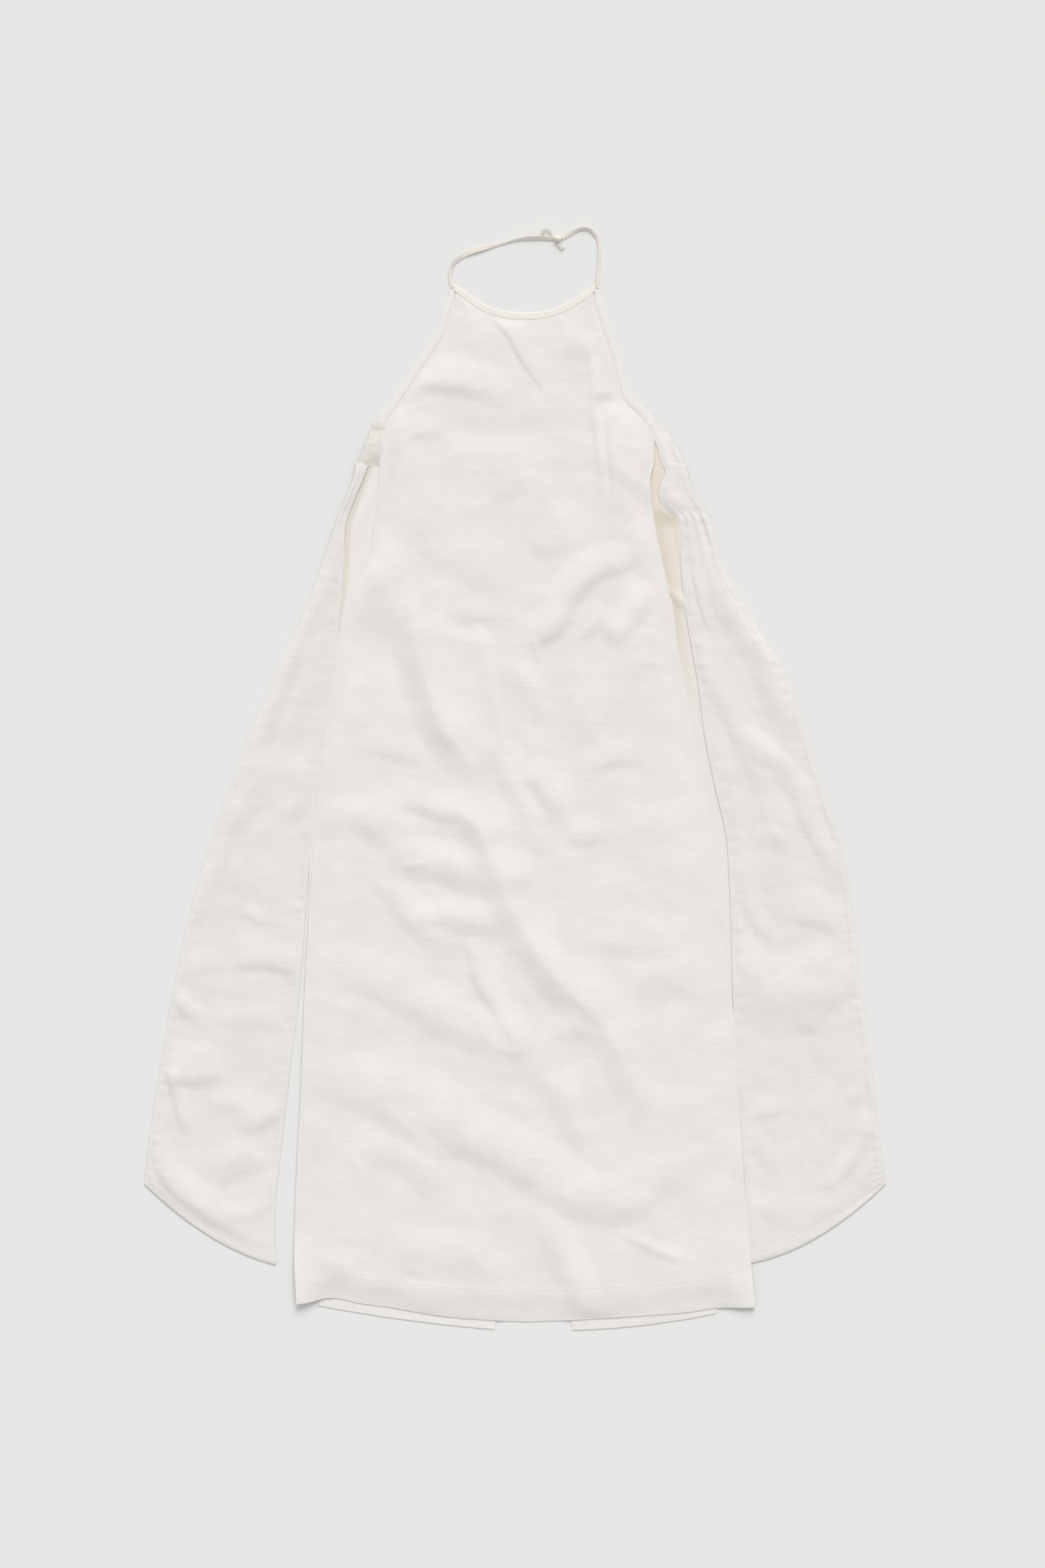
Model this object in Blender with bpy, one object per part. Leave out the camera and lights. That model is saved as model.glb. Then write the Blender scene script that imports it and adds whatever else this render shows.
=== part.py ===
"""Halter dress of washed linen, laid flat on a surface with its front up.

The dress lies along Y with its straps at +Y and its hem at -Y, its width along X and its thickness
along Z, with its underside at Z = 0. Sizes and places below are in millimetres, and the meshes are in
metres. Each cut piece is one closed wall of cloth. A panel is a set of lines across it, from its left
end to its right end, and its folds are ridges that follow their own routes over it. Each route is
traced with the fold's gentle side on its left hand and its steep side on its right hand.
"""

from collections import namedtuple

import bmesh
import bpy
import numpy as np

MM = 0.001

# Cloth and seams
WALL = 1.5            # a panel's thickness, with the loft of the washed linen
SEAM_GAP = 0.3        # between two pieces that are sewn together
LAYER = WALL + SEAM_GAP
HEM_WIDTH = 9.0       # the narrow turned hem of the side ties
HEM_RISE = 0.9        # how far a turned hem stands over its panel
PUFF = 3.5            # air that holds the front off the back
PUFF_REACH = 34.0     # how far in from an edge the front reaches that height
FOLD_FADE = 20.0      # how far in from an edge a fold reaches its full height
FINEST_FOLD = 20.0    # the narrowest slope that the panels' meshes carry

# Bindings and straps
BINDING_WIDTH = 9.0
BINDING_THICK = 3.0
STRAP_THICK = 2.6
KNOT_SIZE = (12.0, 8.5, 6.0)
BINDING_TOPS = {"left": (-79.5, 618.5), "right": (104.0, 618.5)}  # where the straps begin
LOOP_THICK = 2.6
TAIL_THICK = 2.2

# Grid of each panel, in cells across and along
FRONT_CELLS = (24, 54)
TIE_CELLS = (12, 40)
BACK_CELLS = (6, 24)
GATHER_CELLS = (8, 14)
STRAP_STEPS = 28

BACK_TOP = 392.0      # the back's upper edge, at the underarms
REST_BLEND = 40.0     # over this length the front steps down from the back to the floor
TIE_BLEND = 18.0      # the same for the right tie, beside the back
REST_OVERLAP = 6.0    # how far past the back's edge a layer on it stays level

Line = namedtuple("Line", "left_x left_y right_x right_y drop bow")
Fold = namedtuple("Fold", "name route height light dark")
Stop = namedtuple("Stop", "x y width twist")
Wave = namedtuple("Wave", "place spread lift")

# Front: lines across it, from the neckline to the hem. The drop is how far the middle hangs lower than
# the ends, and the bow is how flat that curve is in its middle.
FRONT = (
    Line(-73, 611, 98, 611, 34, 2.4),
    Line(-81, 588, 104, 588, 27, 2.4),
    Line(-90, 557, 114, 557, 18, 2.3),
    Line(-108, 530, 123, 530, 12, 2.2),
    Line(-127, 501, 131, 501, 7, 2.1),
    Line(-144, 475, 139, 475, 4, 2.0),
    Line(-155, 459, 155, 459, 2, 2.0),
    Line(-165, 444, 168, 444, 0, 2.0),
    Line(-170.5, 427, 175, 428, 0, 2.0),
    Line(-171, 410, 176, 410, 0, 2.0),
    Line(-171, 394, 175, 394, 0, 2.0),
    Line(-171.5, 377, 170.5, 377, 0, 2.0),
    Line(-173, 354, 172, 354, 0, 2.0),
    Line(-178, 317, 177, 317, 0, 2.0),
    Line(-181, 291, 182, 291, 0, 2.0),
    Line(-195, 255, 190, 255, 0, 2.0),
    Line(-215, 218, 199, 218, 0, 2.0),
    Line(-221.5, 168, 205, 168, 0, 2.0),
    Line(-229.5, 113, 216, 113, 0, 2.0),
    Line(-240, 56, 224, 56, 0, 2.0),
    Line(-248, -10, 239, -10, 1, 2.0),
    Line(-252, -70, 250, -70, 1, 2.0),
    Line(-258, -145, 260, -145, 2, 1.9),
    Line(-262, -210, 267, -210, 3, 1.8),
    Line(-266, -290, 275, -290, 4, 1.7),
    Line(-270, -401, 282, -401, 7, 1.6),
    Line(-275, -495, 288, -495, 11, 1.5),
    Line(-278, -602, 297, -602, 17, 1.4),
    Line(-275, -664, 303, -667, 20, 1.3),
)

# The front's hem ripples near its left corner: place across from 0 to 1, spread, and lift.
HEM_WAVES = (
    Wave(0.06, 0.045, 10.0),
    Wave(0.18, 0.08, 6.0),
)
HEM_WAVE_REACH = 70.0

FRONT_FOLDS = (
    Fold("neck_pleat", ((-34, 590), (5, 541), (42, 487)), 4.0, 20, 12),
    Fold("chest_roll", ((-128, 500), (-73, 508), (-22, 474)), 9.0, 28, 17),
    Fold("chest_crease_inner", ((94, 527), (101, 455), (105, 382)), 3.5, 16, 10),
    Fold("chest_crease_outer", ((120, 487), (123, 409), (126, 329)), 3.5, 16, 10),
    Fold("underarm_swell", ((134, 470), (150, 435), (152, 395)), 5.0, 24, 26),
    Fold("waist_roll", ((42, 203), (65, 234), (95, 270), (137, 281), (153, 317)), 9.0, 28, 18),
    Fold("side_swell", ((-196, 268), (-166, 284), (-130, 256)), 5.5, 50, 44),
    Fold("bust_swell", ((-118, 326), (-93, 314), (-66, 300)), 4.0, 34, 32),
    Fold("middle_swell", ((-35, 236), (-10, 222), (18, 215)), 4.5, 34, 30),
    Fold("long_fold_upper", ((-140, 240), (-120, 174), (-105, 111), (-76, 52), (-54, 6)), 9.0, 36, 18),
    Fold(
        "long_fold_lower",
        ((-42, -57), (-15, -112), (15, -172), (44, -221), (80, -266), (132, -309), (162, -368), (178, -414)),
        10.0,
        38,
        20,
    ),
    Fold("second_fold", ((9, -2), (44, -120), (77, -233)), 3.0, 22, 12),
    Fold("cross_fold_upper", ((-172, -20), (-125, -30), (-88, -24)), 4.5, 26, 18),
    Fold("cross_fold_middle", ((-150, -94), (-110, -103), (-66, -100)), 6.0, 28, 17),
    Fold("cross_fold_side", ((-176, -148), (-140, -168), (-108, -190)), 4.0, 24, 16),
    Fold("cross_fold_lower", ((-105, -179), (-65, -186), (-12, -190)), 6.0, 28, 17),
    Fold("diagonal_fold", ((-170, -246), (-103, -309), (-44, -330), (6, -355), (33, -414)), 7.0, 32, 18),
    Fold(
        "u_fold",
        (
            (-205, -384),
            (-141, -410),
            (-90, -433),
            (-42, -468),
            (11, -498),
            (55, -523),
            (107, -540),
            (149, -532),
            (179, -500),
            (200, -455),
        ),
        11.0,
        40,
        22,
    ),
    Fold("hem_fold", ((30, -545), (53, -601), (88, -655)), 3.0, 18, 12),
)

# The two halves of the back. They meet in a centre seam down to the vent, and part below it.
BACK_LEFT = (
    Line(-183.6, BACK_TOP, -0.2, BACK_TOP, 0, 2.0),
    Line(-193.6, 357, 0.3, 357, 0, 2.0),
    Line(-205.6, 321, 0.8, 321, 0, 2.0),
    Line(-212.6, 270, 1.5, 270, 0, 2.0),
    Line(-218, 222, 2.2, 222, 0, 2.0),
    Line(-224.3, 168, 3.0, 168, 0, 2.0),
    Line(-232, 113, 3.8, 113, 0, 2.0),
    Line(-241.5, 56, 4.6, 56, 0, 2.0),
    Line(-248.6, -10, 5.4, -10, 0, 2.0),
    Line(-254.2, -70, 6.2, -70, 0, 2.0),
    Line(-259.5, -145, 7.0, -145, 0, 2.0),
    Line(-257, -210, 7.9, -210, 0, 2.0),
    Line(-261, -290, 7.0, -290, 0, 2.0),
    Line(-265, -401, -3.0, -401, 0, 2.0),
    Line(-268, -602, -19, -620, 2, 2.0),
    Line(-247, -665, -25, -695, 3, 2.0),
)
BACK_RIGHT = (
    Line(0.2, BACK_TOP, 203, BACK_TOP, 0, 2.0),
    Line(0.7, 357, 206, 350, 0, 2.0),
    Line(1.2, 321, 211, 318, 0, 2.0),
    Line(1.9, 270, 216, 268, 0, 2.0),
    Line(2.6, 224, 220, 222, 0, 2.0),
    Line(3.4, 168, 228, 168, 0, 2.0),
    Line(4.2, 113, 237, 113, 0, 2.0),
    Line(5.0, 56, 245, 56, 0, 2.0),
    Line(6.8, -70, 272, -70, 0, 2.0),
    Line(9.1, -210, 283, -210, 0, 2.0),
    Line(13.0, -290, 284, -290, 0, 2.0),
    Line(28, -401, 279, -401, 0, 2.0),
    Line(60, -630, 287, -602, 3, 2.0),
    Line(73, -696, 253, -671, 2, 2.0),
)

# Side ties: lines across each, from the gathered head to the rounded hem.
TIE_LEFT = (
    Line(-200.0, 394, -184.5, 392.4, 0, 2.0),
    Line(-209, 359, -194.5, 357, 0, 2.0),
    Line(-224, 325, -206.5, 321, 0, 2.0),
    Line(-240, 279, -213.5, 270, 0, 2.0),
    Line(-260, 224, -219, 220, 0, 2.0),
    Line(-298, 140, -228.5, 140, 0, 2.0),
    Line(-333, 58, -243.5, 50, 0, 2.0),
    Line(-372, -47, -253.5, -49, 0, 2.0),
    Line(-405, -152, -262, -150, 0, 2.0),
    Line(-431, -271, -271.5, -271, 0, 2.0),
    Line(-449, -376, -284, -376, 0, 2.0),
    Line(-461, -455, -296, -481, 3, 2.0),
    Line(-465, -490, -302, -549, 8, 2.0),
    Line(-467, -512, -301, -614, 15, 2.0),
)
TIE_RIGHT = (
    Line(197.0, 391.8, 216.0, 392.0, 0, 2.0),
    Line(201.5, 363, 223, 365, 0, 2.0),
    Line(204.5, 334, 240, 338, 0, 2.0),
    Line(207, 300, 252, 304, 0, 2.0),
    Line(209.5, 258, 263, 265, 0, 2.0),
    Line(214, 218, 288, 224, 0, 2.0),
    Line(221, 174, 314, 178, 0, 2.0),
    Line(230.5, 119, 345, 124, 0, 2.0),
    Line(238.5, 56, 365, 60, 0, 2.0),
    Line(252, -11, 387, -7, 0, 2.0),
    Line(266, -74, 408, -74, 0, 2.0),
    Line(273.5, -152, 424, -152, 0, 2.0),
    Line(280, -250, 434.5, -250, 0, 2.0),
    Line(285, -338, 446.5, -337, 0, 2.0),
    Line(291, -431, 457.5, -429, 0, 2.0),
    Line(299, -498, 464, -485, 3, 2.0),
    Line(303, -562, 466.5, -500, 9, 2.0),
    Line(300.5, -612, 467, -512, 17, 2.0),
)
TIE_LEFT_FOLDS = (
    Fold("outer_roll", ((-352, -30), (-318, 62), (-268, 170), (-236, 262)), 5.0, 22, 18),
    Fold("inner_roll", ((-290, -90), (-262, 30), (-246, 120)), 4.0, 24, 16),
    Fold("middle_roll", ((-388, -240), (-352, -130), (-322, -20)), 4.0, 28, 24),
    Fold("lower_roll", ((-420, -420), (-385, -330), (-330, -230)), 4.0, 34, 24),
    Fold("hem_roll", ((-380, -540), (-345, -470), (-322, -380)), 3.5, 30, 22),
)
TIE_RIGHT_FOLDS = (
    Fold("outer_roll", ((232, 310), (262, 223), (318, 140), (344, 60), (396, -60)), 7.0, 24, 20),
    Fold("inner_roll", ((248, 140), (275, 94), (303, 27), (322, -36)), 5.5, 22, 16),
    Fold("middle_roll", ((330, -60), (352, -180), (362, -300)), 4.0, 28, 24),
    Fold("edge_roll", ((398, -140), (414, -270), (424, -390)), 3.5, 26, 22),
    Fold("lower_roll", ((310, -300), (340, -400), (392, -500)), 4.0, 32, 24),
)

# Gathered heads of the ties, from the underarm down to the tie.
GATHER_LEFT = (
    Line(-179.5, 449.0, -166.8, 441.4, 0, 2.0),
    Line(-182.5, 439, -169.4, 434.5, 0, 2.0),
    Line(-185.8, 428.5, -171.4, 425.5, 0, 2.0),
    Line(-189.5, 418, -171.8, 414.5, 0, 2.0),
    Line(-194.5, 406, -171.8, 403.5, 0, 2.0),
    Line(-199.9, 394.8, -171.9, 393.0, 0, 2.0),
)
GATHER_RIGHT = (
    Line(172.4, 438.6, 179.4, 443.4, 0, 2.0),
    Line(176.0, 430, 191, 436.0, 0, 2.0),
    Line(177.0, 418.5, 201, 421.5, 0, 2.0),
    Line(177.1, 406, 208.5, 407.5, 0, 2.0),
    Line(176.6, 393, 215.9, 392.6, 0, 2.0),
)
GATHERS = 6           # puckers down each head
GATHER_RISE = 2.6

# Straps, from the corner of the neckline to the knot: place, width, and how far the strip is rolled
# onto its edge, in degrees.
STRAP_LEFT = (
    Stop(-79.6, 618.8, 8.8, 0),
    Stop(-81.6, 627, 8.5, 8),
    Stop(-81, 639, 8.2, 20),
    Stop(-77.5, 648, 8.0, 30),
    Stop(-71, 654.5, 8.0, 20),
    Stop(-58, 662, 8.0, 10),
    Stop(-42, 667, 7.8, 25),
    Stop(-26.5, 669.5, 7.4, 50),
    Stop(-13, 673.7, 7.0, 62),
    Stop(1, 677.9, 6.8, 40),
    Stop(15, 679.6, 6.6, 20),
    Stop(31, 680.2, 6.4, 10),
    Stop(47.4, 679.0, 6.0, 0),
)
STRAP_RIGHT = (
    Stop(104.1, 618.8, 8.8, 0),
    Stop(105.6, 630, 8.4, 14),
    Stop(106.8, 655, 7.8, 35),
    Stop(107, 668, 7.6, 40),
    Stop(104.5, 679, 7.4, 25),
    Stop(100, 686, 7.2, 10),
    Stop(94, 691, 7.2, 0),
    Stop(86.5, 692.4, 7.2, 10),
    Stop(78, 690.4, 7.0, 20),
    Stop(70, 685.6, 6.8, 20),
    Stop(61.0, 680.4, 6.0, 0),
)
KNOT_CENTRE = (54.2, 679.2)
LOOP_ROUTE = (
    (35.6, 684.1),
    (34.6, 688.2),
    (37.2, 691.4),
    (40.6, 692.2),
    (43.8, 690.2),
    (45.8, 686.4),
    (46.3, 682.9),
)
TAIL = (
    Stop(54.0, 674.3, 4.0, 0),
    Stop(56.6, 670.6, 5.6, 10),
    Stop(61.0, 666.6, 5.8, 0),
)

# Base colours, linear, and finish
LINEN = (0.83, 0.80, 0.76)
LINEN_BINDING = (0.85, 0.80, 0.72)
LINEN_BACK = (0.78, 0.72, 0.64)
CLOTH_ROUGHNESS = 0.9


def smooth_between(knots, values, at):
    """The values at `at` on a smooth curve through the knots: a cubic in each span, whose slope at a
    knot is the mean of the two straight runs that meet there."""
    knots, values, at = np.asarray(knots, float), np.asarray(values, float), np.asarray(at, float)
    runs = np.diff(values, axis=0) / np.diff(knots)[:, None]
    slopes = np.vstack([runs[:1], (runs[1:] + runs[:-1]) / 2, runs[-1:]])
    span = np.clip(np.searchsorted(knots, at, side="right") - 1, 0, len(knots) - 2)
    length = (knots[span + 1] - knots[span])[:, None]
    t = (at - knots[span])[:, None] / length
    start, end = values[span], values[span + 1]
    rise = 3 * t**2 - 2 * t**3
    lean_in, lean_out = t**3 - 2 * t**2 + t, t**3 - t**2
    return start + (end - start) * rise + length * (slopes[span] * lean_in + slopes[span + 1] * lean_out)


def distances(points):
    """How far along a run of points each of them lies."""
    return np.concatenate([[0], np.cumsum(np.linalg.norm(np.diff(points, axis=0), axis=1))])


def evenly(points, columns, count):
    """Reads the columns at evenly spaced places along the smooth curve through the points."""
    knots = distances(np.asarray(points, float))
    return smooth_between(knots, columns, np.linspace(0, knots[-1], count))


def smooth_step(value):
    """0 below 0, 1 above 1, and a soft S between them."""
    value = np.clip(value, 0, 1)
    return value * value * (3 - 2 * value)


def panel_grid(lines, cells):
    """x, y and the place across of a grid over a panel, a row for each line from its head to its hem."""
    across, along = cells
    table = np.array(lines, float)
    middles = np.column_stack([(table[:, 0] + table[:, 2]) / 2, (table[:, 1] + table[:, 3]) / 2])
    left_x, left_y, right_x, right_y, drop, bow = evenly(middles, table, along + 1).T[:, :, None]
    place = np.linspace(0, 1, across + 1)[None, :]
    sag = drop * (1 - np.abs(2 * place - 1) ** bow)
    x = left_x + (right_x - left_x) * place
    y = left_y + (right_y - left_y) * place - sag
    return x, y, np.broadcast_to(place, x.shape)


def fold_relief(x, y, folds):
    """Height of the folds over each point. A fold is highest on its route, falls off to both sides as
    (1 - s^2)^2, where s is the distance over that side's width, and fades in and out at its ends."""
    height = np.zeros_like(x)
    for fold in folds:
        route = evenly(fold.route, fold.route, 60)
        heading = np.gradient(route, axis=0)
        heading /= np.linalg.norm(heading, axis=1)[:, None]
        off = np.stack([x, y], axis=-1)[..., None, :] - route
        nearest = np.argmin((off**2).sum(axis=-1), axis=-1)
        reach = np.take_along_axis(off, nearest[..., None, None], axis=-2)[..., 0, :]
        facing = heading[nearest]
        side = facing[..., 0] * reach[..., 1] - facing[..., 1] * reach[..., 0]
        width = np.where(side > 0, fold.light, fold.dark)
        away = np.minimum(np.linalg.norm(reach, axis=-1) / np.maximum(width, FINEST_FOLD), 1)
        fade = np.sin(np.pi * np.clip(nearest / (len(route) - 1), 0.03, 0.97)) ** 0.6
        height += fold.height * fade * (1 - away**2) ** 2
    return height


def edge_rise(x, y, reach):
    """0 on a grid's rim and 1 at `reach` or more from its nearest side."""
    def run(axis):
        step = np.hypot(np.diff(x, axis=axis), np.diff(y, axis=axis))
        start = np.zeros_like(np.take(x, [0], axis=axis))
        return np.concatenate([start, np.cumsum(step, axis=axis)], axis=axis)
    across, along = run(1), run(0)
    near = np.minimum(across, across[:, -1:] - across)
    ends = np.minimum(along, along[-1:] - along)
    return smooth_step(near / reach) * smooth_step(ends / reach)


def finish(name, mesh_points, faces, colour):
    """One closed, smooth-shaded object of the given points in millimetres, with its own material."""
    mesh = bpy.data.meshes.new(name)
    mesh.from_pydata((np.asarray(mesh_points) * MM).tolist(), [], faces)
    shape = bmesh.new()
    shape.from_mesh(mesh)
    bmesh.ops.recalc_face_normals(shape, faces=shape.faces)
    shape.to_mesh(mesh)
    shape.free()
    mesh.shade_smooth()
    material = bpy.data.materials.new(name + "_cloth")
    material.use_nodes = True
    shader = material.node_tree.nodes["Principled BSDF"]
    shader.inputs["Base Color"].default_value = (*colour, 1)
    shader.inputs["Roughness"].default_value = CLOTH_ROUGHNESS
    mesh.materials.append(material)
    piece = bpy.data.objects.new(name, mesh)
    bpy.context.scene.collection.objects.link(piece)
    return piece


def wall(name, x, y, rest, relief, colour):
    """A panel's wall. Its underside is at the rest height, or follows the folds where they lift it, and
    its upper side is a full wall's thickness off it, measured square to the cloth."""
    top = rest + relief + WALL
    surface = np.stack([x, y, top], axis=-1)
    square = np.cross(np.gradient(surface, axis=1), np.gradient(surface, axis=0))
    upright = np.abs(square[..., 2]) / np.linalg.norm(square, axis=-1)
    bottom = np.maximum(rest, top - WALL / upright)
    rows, columns = x.shape
    points = np.concatenate([surface.reshape(-1, 3), np.stack([x, y, bottom], axis=-1).reshape(-1, 3)])
    index = np.arange(rows * columns).reshape(rows, columns)
    under = rows * columns
    a, b, c, d = index[:-1, :-1], index[1:, :-1], index[1:, 1:], index[:-1, 1:]
    upper = np.stack([a, b, c, d], axis=-1).reshape(-1, 4)
    rim = np.concatenate([index[:, 0], index[-1, 1:], index[-2::-1, -1], index[0, -2:0:-1]])
    ahead = np.roll(rim, -1)
    sides = np.stack([rim + under, ahead + under, ahead, rim], axis=-1)
    faces = np.concatenate([upper, upper[:, ::-1] + under, sides])
    return finish(name, points, faces.tolist(), colour)


def strip(name, path, widths, thick, twists, colour):
    """A folded strip of cloth carried along a path on the floor: a flat bar with rounded edges, rolled
    about its own length by the twist, its lowest edge on the floor."""
    path = np.asarray(path, float)
    heading = np.gradient(path, axis=0)
    heading /= np.linalg.norm(heading, axis=1)[:, None]
    sideways = np.column_stack([-heading[:, 1], heading[:, 0], np.zeros(len(path))])
    upward = np.array([0.0, 0.0, 1.0])
    turn = np.radians(np.broadcast_to(twists, len(path)))[:, None]
    wide = sideways * np.cos(turn) + upward * np.sin(turn)
    high = -sideways * np.sin(turn) + upward * np.cos(turn)
    bar = np.array([(1, 0.4), (0.8, 1), (-0.8, 1), (-1, 0.4), (-1, -0.4), (-0.8, -1), (0.8, -1), (1, -0.4)])
    half = np.broadcast_to(widths, len(path))[:, None, None] / 2
    rings = bar[None, :, :1] * half * wide[:, None, :] + bar[None, :, 1:] * thick / 2 * high[:, None, :]
    rings[..., :2] += path[:, None, :]
    rings[..., 2] -= rings[..., 2].min(axis=1)[:, None]
    count, sides = rings.shape[:2]
    index = np.arange(count * sides).reshape(count, sides)
    ahead = np.roll(index, -1, axis=1)
    body = np.stack([index[:-1], index[1:], ahead[1:], ahead[:-1]], axis=-1).reshape(-1, 4).tolist()
    caps = [index[0].tolist(), index[-1].tolist()]
    return finish(name, rings.reshape(-1, 3), body + caps, colour)


def moved_out(rim, distance):
    """A run of a panel's edge points, moved square to the edge, to the left of their direction."""
    heading = np.gradient(rim, axis=0)
    heading /= np.linalg.norm(heading, axis=1)[:, None]
    return rim + distance * np.column_stack([-heading[:, 1], heading[:, 0]])


def front():
    """The front panel, and the bindings that are made from its neckline and armhole points."""
    x, y, place = panel_grid(FRONT, FRONT_CELLS)
    above_hem = distances(np.column_stack([x[:, 0], y[:, 0]]))
    near_hem = smooth_step(1 - (above_hem[-1] - above_hem) / HEM_WAVE_REACH)[:, None]
    for wave in HEM_WAVES:
        y = y + wave.lift * near_hem * np.exp(-(((place - wave.place) / wave.spread) ** 2))
    rest = LAYER * smooth_step((BACK_TOP + REST_OVERLAP + REST_BLEND - y) / REST_BLEND)
    relief = fold_relief(x, y, FRONT_FOLDS) * edge_rise(x, y, FOLD_FADE)
    relief = relief + PUFF * edge_rise(x, y, PUFF_REACH)
    wall("front_panel", x, y, rest, relief, LINEN)
    beside = SEAM_GAP + BINDING_WIDTH / 2
    neckline = np.column_stack([x[0], y[0]])
    strip("neck_binding", moved_out(neckline, beside), BINDING_WIDTH, BINDING_THICK, 0, LINEN_BINDING)
    underarm = int(np.argmax(y[:, 0] < 440))
    left = np.column_stack([x[:underarm, 0], y[:underarm, 0]])
    right = np.column_stack([x[:underarm, -1], y[:underarm, -1]])
    for side, rim, reach in (("left", left, -beside), ("right", right, beside)):
        path = np.vstack([BINDING_TOPS[side], moved_out(rim, reach)])
        strip("armhole_binding_" + side, path, BINDING_WIDTH, BINDING_THICK, 0, LINEN_BINDING)


def back():
    """The back's two halves, flat on the floor."""
    for name, lines in (("back_panel_left", BACK_LEFT), ("back_panel_right", BACK_RIGHT)):
        x, y, _ = panel_grid(lines, BACK_CELLS)
        wall(name, x, y, np.zeros_like(x), np.zeros_like(x), LINEN_BACK)


def side_ties():
    """The flared ties and their gathered heads. The right tie's inner edge lies on the back."""
    back_edge = np.array([(line.right_y, line.right_x) for line in BACK_RIGHT[::-1]])
    sides = (
        ("left", TIE_LEFT, TIE_LEFT_FOLDS, GATHER_LEFT),
        ("right", TIE_RIGHT, TIE_RIGHT_FOLDS, GATHER_RIGHT),
    )
    for side, lines, folds, head in sides:
        x, y, _ = panel_grid(lines, TIE_CELLS)
        rest = np.zeros_like(x)
        if side == "right":
            edge = np.interp(y, back_edge[:, 0], back_edge[:, 1])
            rest = LAYER * smooth_step((edge + REST_OVERLAP + TIE_BLEND - x) / TIE_BLEND)
        rim = edge_rise(x, y, 2.2 * HEM_WIDTH)
        relief = fold_relief(x, y, folds) * rim + HEM_RISE * (1 - rim)
        wall("side_tie_" + side, x, y, rest, relief, LINEN)
        x, y, place = panel_grid(head, GATHER_CELLS)
        down = np.linspace(0, GATHERS * np.pi, x.shape[0])[:, None]
        relief = GATHER_RISE * np.sin(down) ** 2 * (0.4 + 0.6 * np.sin(np.pi * place))
        rest = np.broadcast_to(rest[0, 0] * np.linspace(0, 1, x.shape[0])[:, None], x.shape)
        wall("tie_gather_" + side, x, y, rest, relief, LINEN)


def straps():
    """The two straps, the knot that ties them at the nape, its loop and its tail."""
    for name, stops in (("strap_left", STRAP_LEFT), ("strap_right", STRAP_RIGHT)):
        table = np.array(stops, float)
        x, y, width, twist = evenly(table[:, :2], table, STRAP_STEPS).T
        strip(name, np.column_stack([x, y]), width, STRAP_THICK, twist, LINEN_BINDING)
    table = np.array(TAIL, float)
    x, y, width, twist = evenly(table[:, :2], table, 7).T
    strip("strap_tail", np.column_stack([x, y]), width, TAIL_THICK, twist, LINEN_BINDING)
    route = evenly(LOOP_ROUTE, LOOP_ROUTE, 14)
    strip("strap_loop", route, LOOP_THICK, LOOP_THICK, 0, LINEN_BINDING)
    shape = bmesh.new()
    bmesh.ops.create_uvsphere(shape, u_segments=18, v_segments=9, radius=0.5)
    points = np.array([vertex.co for vertex in shape.verts])
    faces = [[vertex.index for vertex in face.verts] for face in shape.faces]
    shape.free()
    swirl = np.arctan2(points[:, 2], points[:, 1]) + 5 * points[:, 0]
    points *= (1 + 0.07 * np.cos(2 * swirl))[:, None] * np.array(KNOT_SIZE)
    points += (*KNOT_CENTRE, KNOT_SIZE[2] * 0.46)
    points[:, 2] = np.maximum(points[:, 2], 0)
    finish("strap_knot", points, faces, LINEN_BINDING)


for old in list(bpy.data.objects):
    bpy.data.objects.remove(old, do_unlink=True)
front()
back()
side_ties()
straps()
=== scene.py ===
# %% [markdown]
# # A halter dress of washed linen, laid flat
# The dress is one light plain-weave linen throughout: a flared front with a high halter neckline, a back
# in two halves, two long flared side ties, and narrow folded strips for the bindings and straps. It lies on
# its back on a pale floor, and a camera looks straight down at it.
#
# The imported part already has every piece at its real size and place. This file gives each of them the fine
# form that a solid wall can't carry: soft folds, dents from washing, turned hems, puckered seams and
# stitches. All sizes are in millimetres, +Y runs from hem to straps, and +Z points up, out of the front.

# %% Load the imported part
from collections import namedtuple

import bpy
import numpy as np
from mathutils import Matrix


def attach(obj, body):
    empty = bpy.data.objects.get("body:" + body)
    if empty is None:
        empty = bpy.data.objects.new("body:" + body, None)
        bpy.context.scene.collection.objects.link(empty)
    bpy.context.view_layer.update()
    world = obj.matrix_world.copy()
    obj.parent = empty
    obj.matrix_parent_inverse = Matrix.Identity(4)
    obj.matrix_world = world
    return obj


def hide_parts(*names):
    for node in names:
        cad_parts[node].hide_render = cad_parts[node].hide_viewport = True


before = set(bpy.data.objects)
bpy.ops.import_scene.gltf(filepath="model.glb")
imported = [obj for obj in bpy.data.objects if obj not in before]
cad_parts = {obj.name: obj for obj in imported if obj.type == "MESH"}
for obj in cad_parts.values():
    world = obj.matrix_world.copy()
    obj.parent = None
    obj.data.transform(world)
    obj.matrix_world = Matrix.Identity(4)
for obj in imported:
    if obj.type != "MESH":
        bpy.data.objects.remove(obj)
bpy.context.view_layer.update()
MM = 0.001


# %% [markdown]
# ## Camera
# A garment is laid out flat and taken from above, so its outline has no perspective to speak of. A lens of
# 85 mm far overhead gives that flat look. The picture's long side covers 36 mm of the lens's image, so the
# height over the floor follows from how much floor that side shows.

# %% Camera
PICTURE = (1568, 2352)        # pixels across and along
PIXEL = 0.84                  # mm of floor for each pixel
LENS, IMAGE_SIDE = 85.0, 36.0
CAMERA_OVER = (9.7, -7.6)     # the point of the floor under the camera

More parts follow.
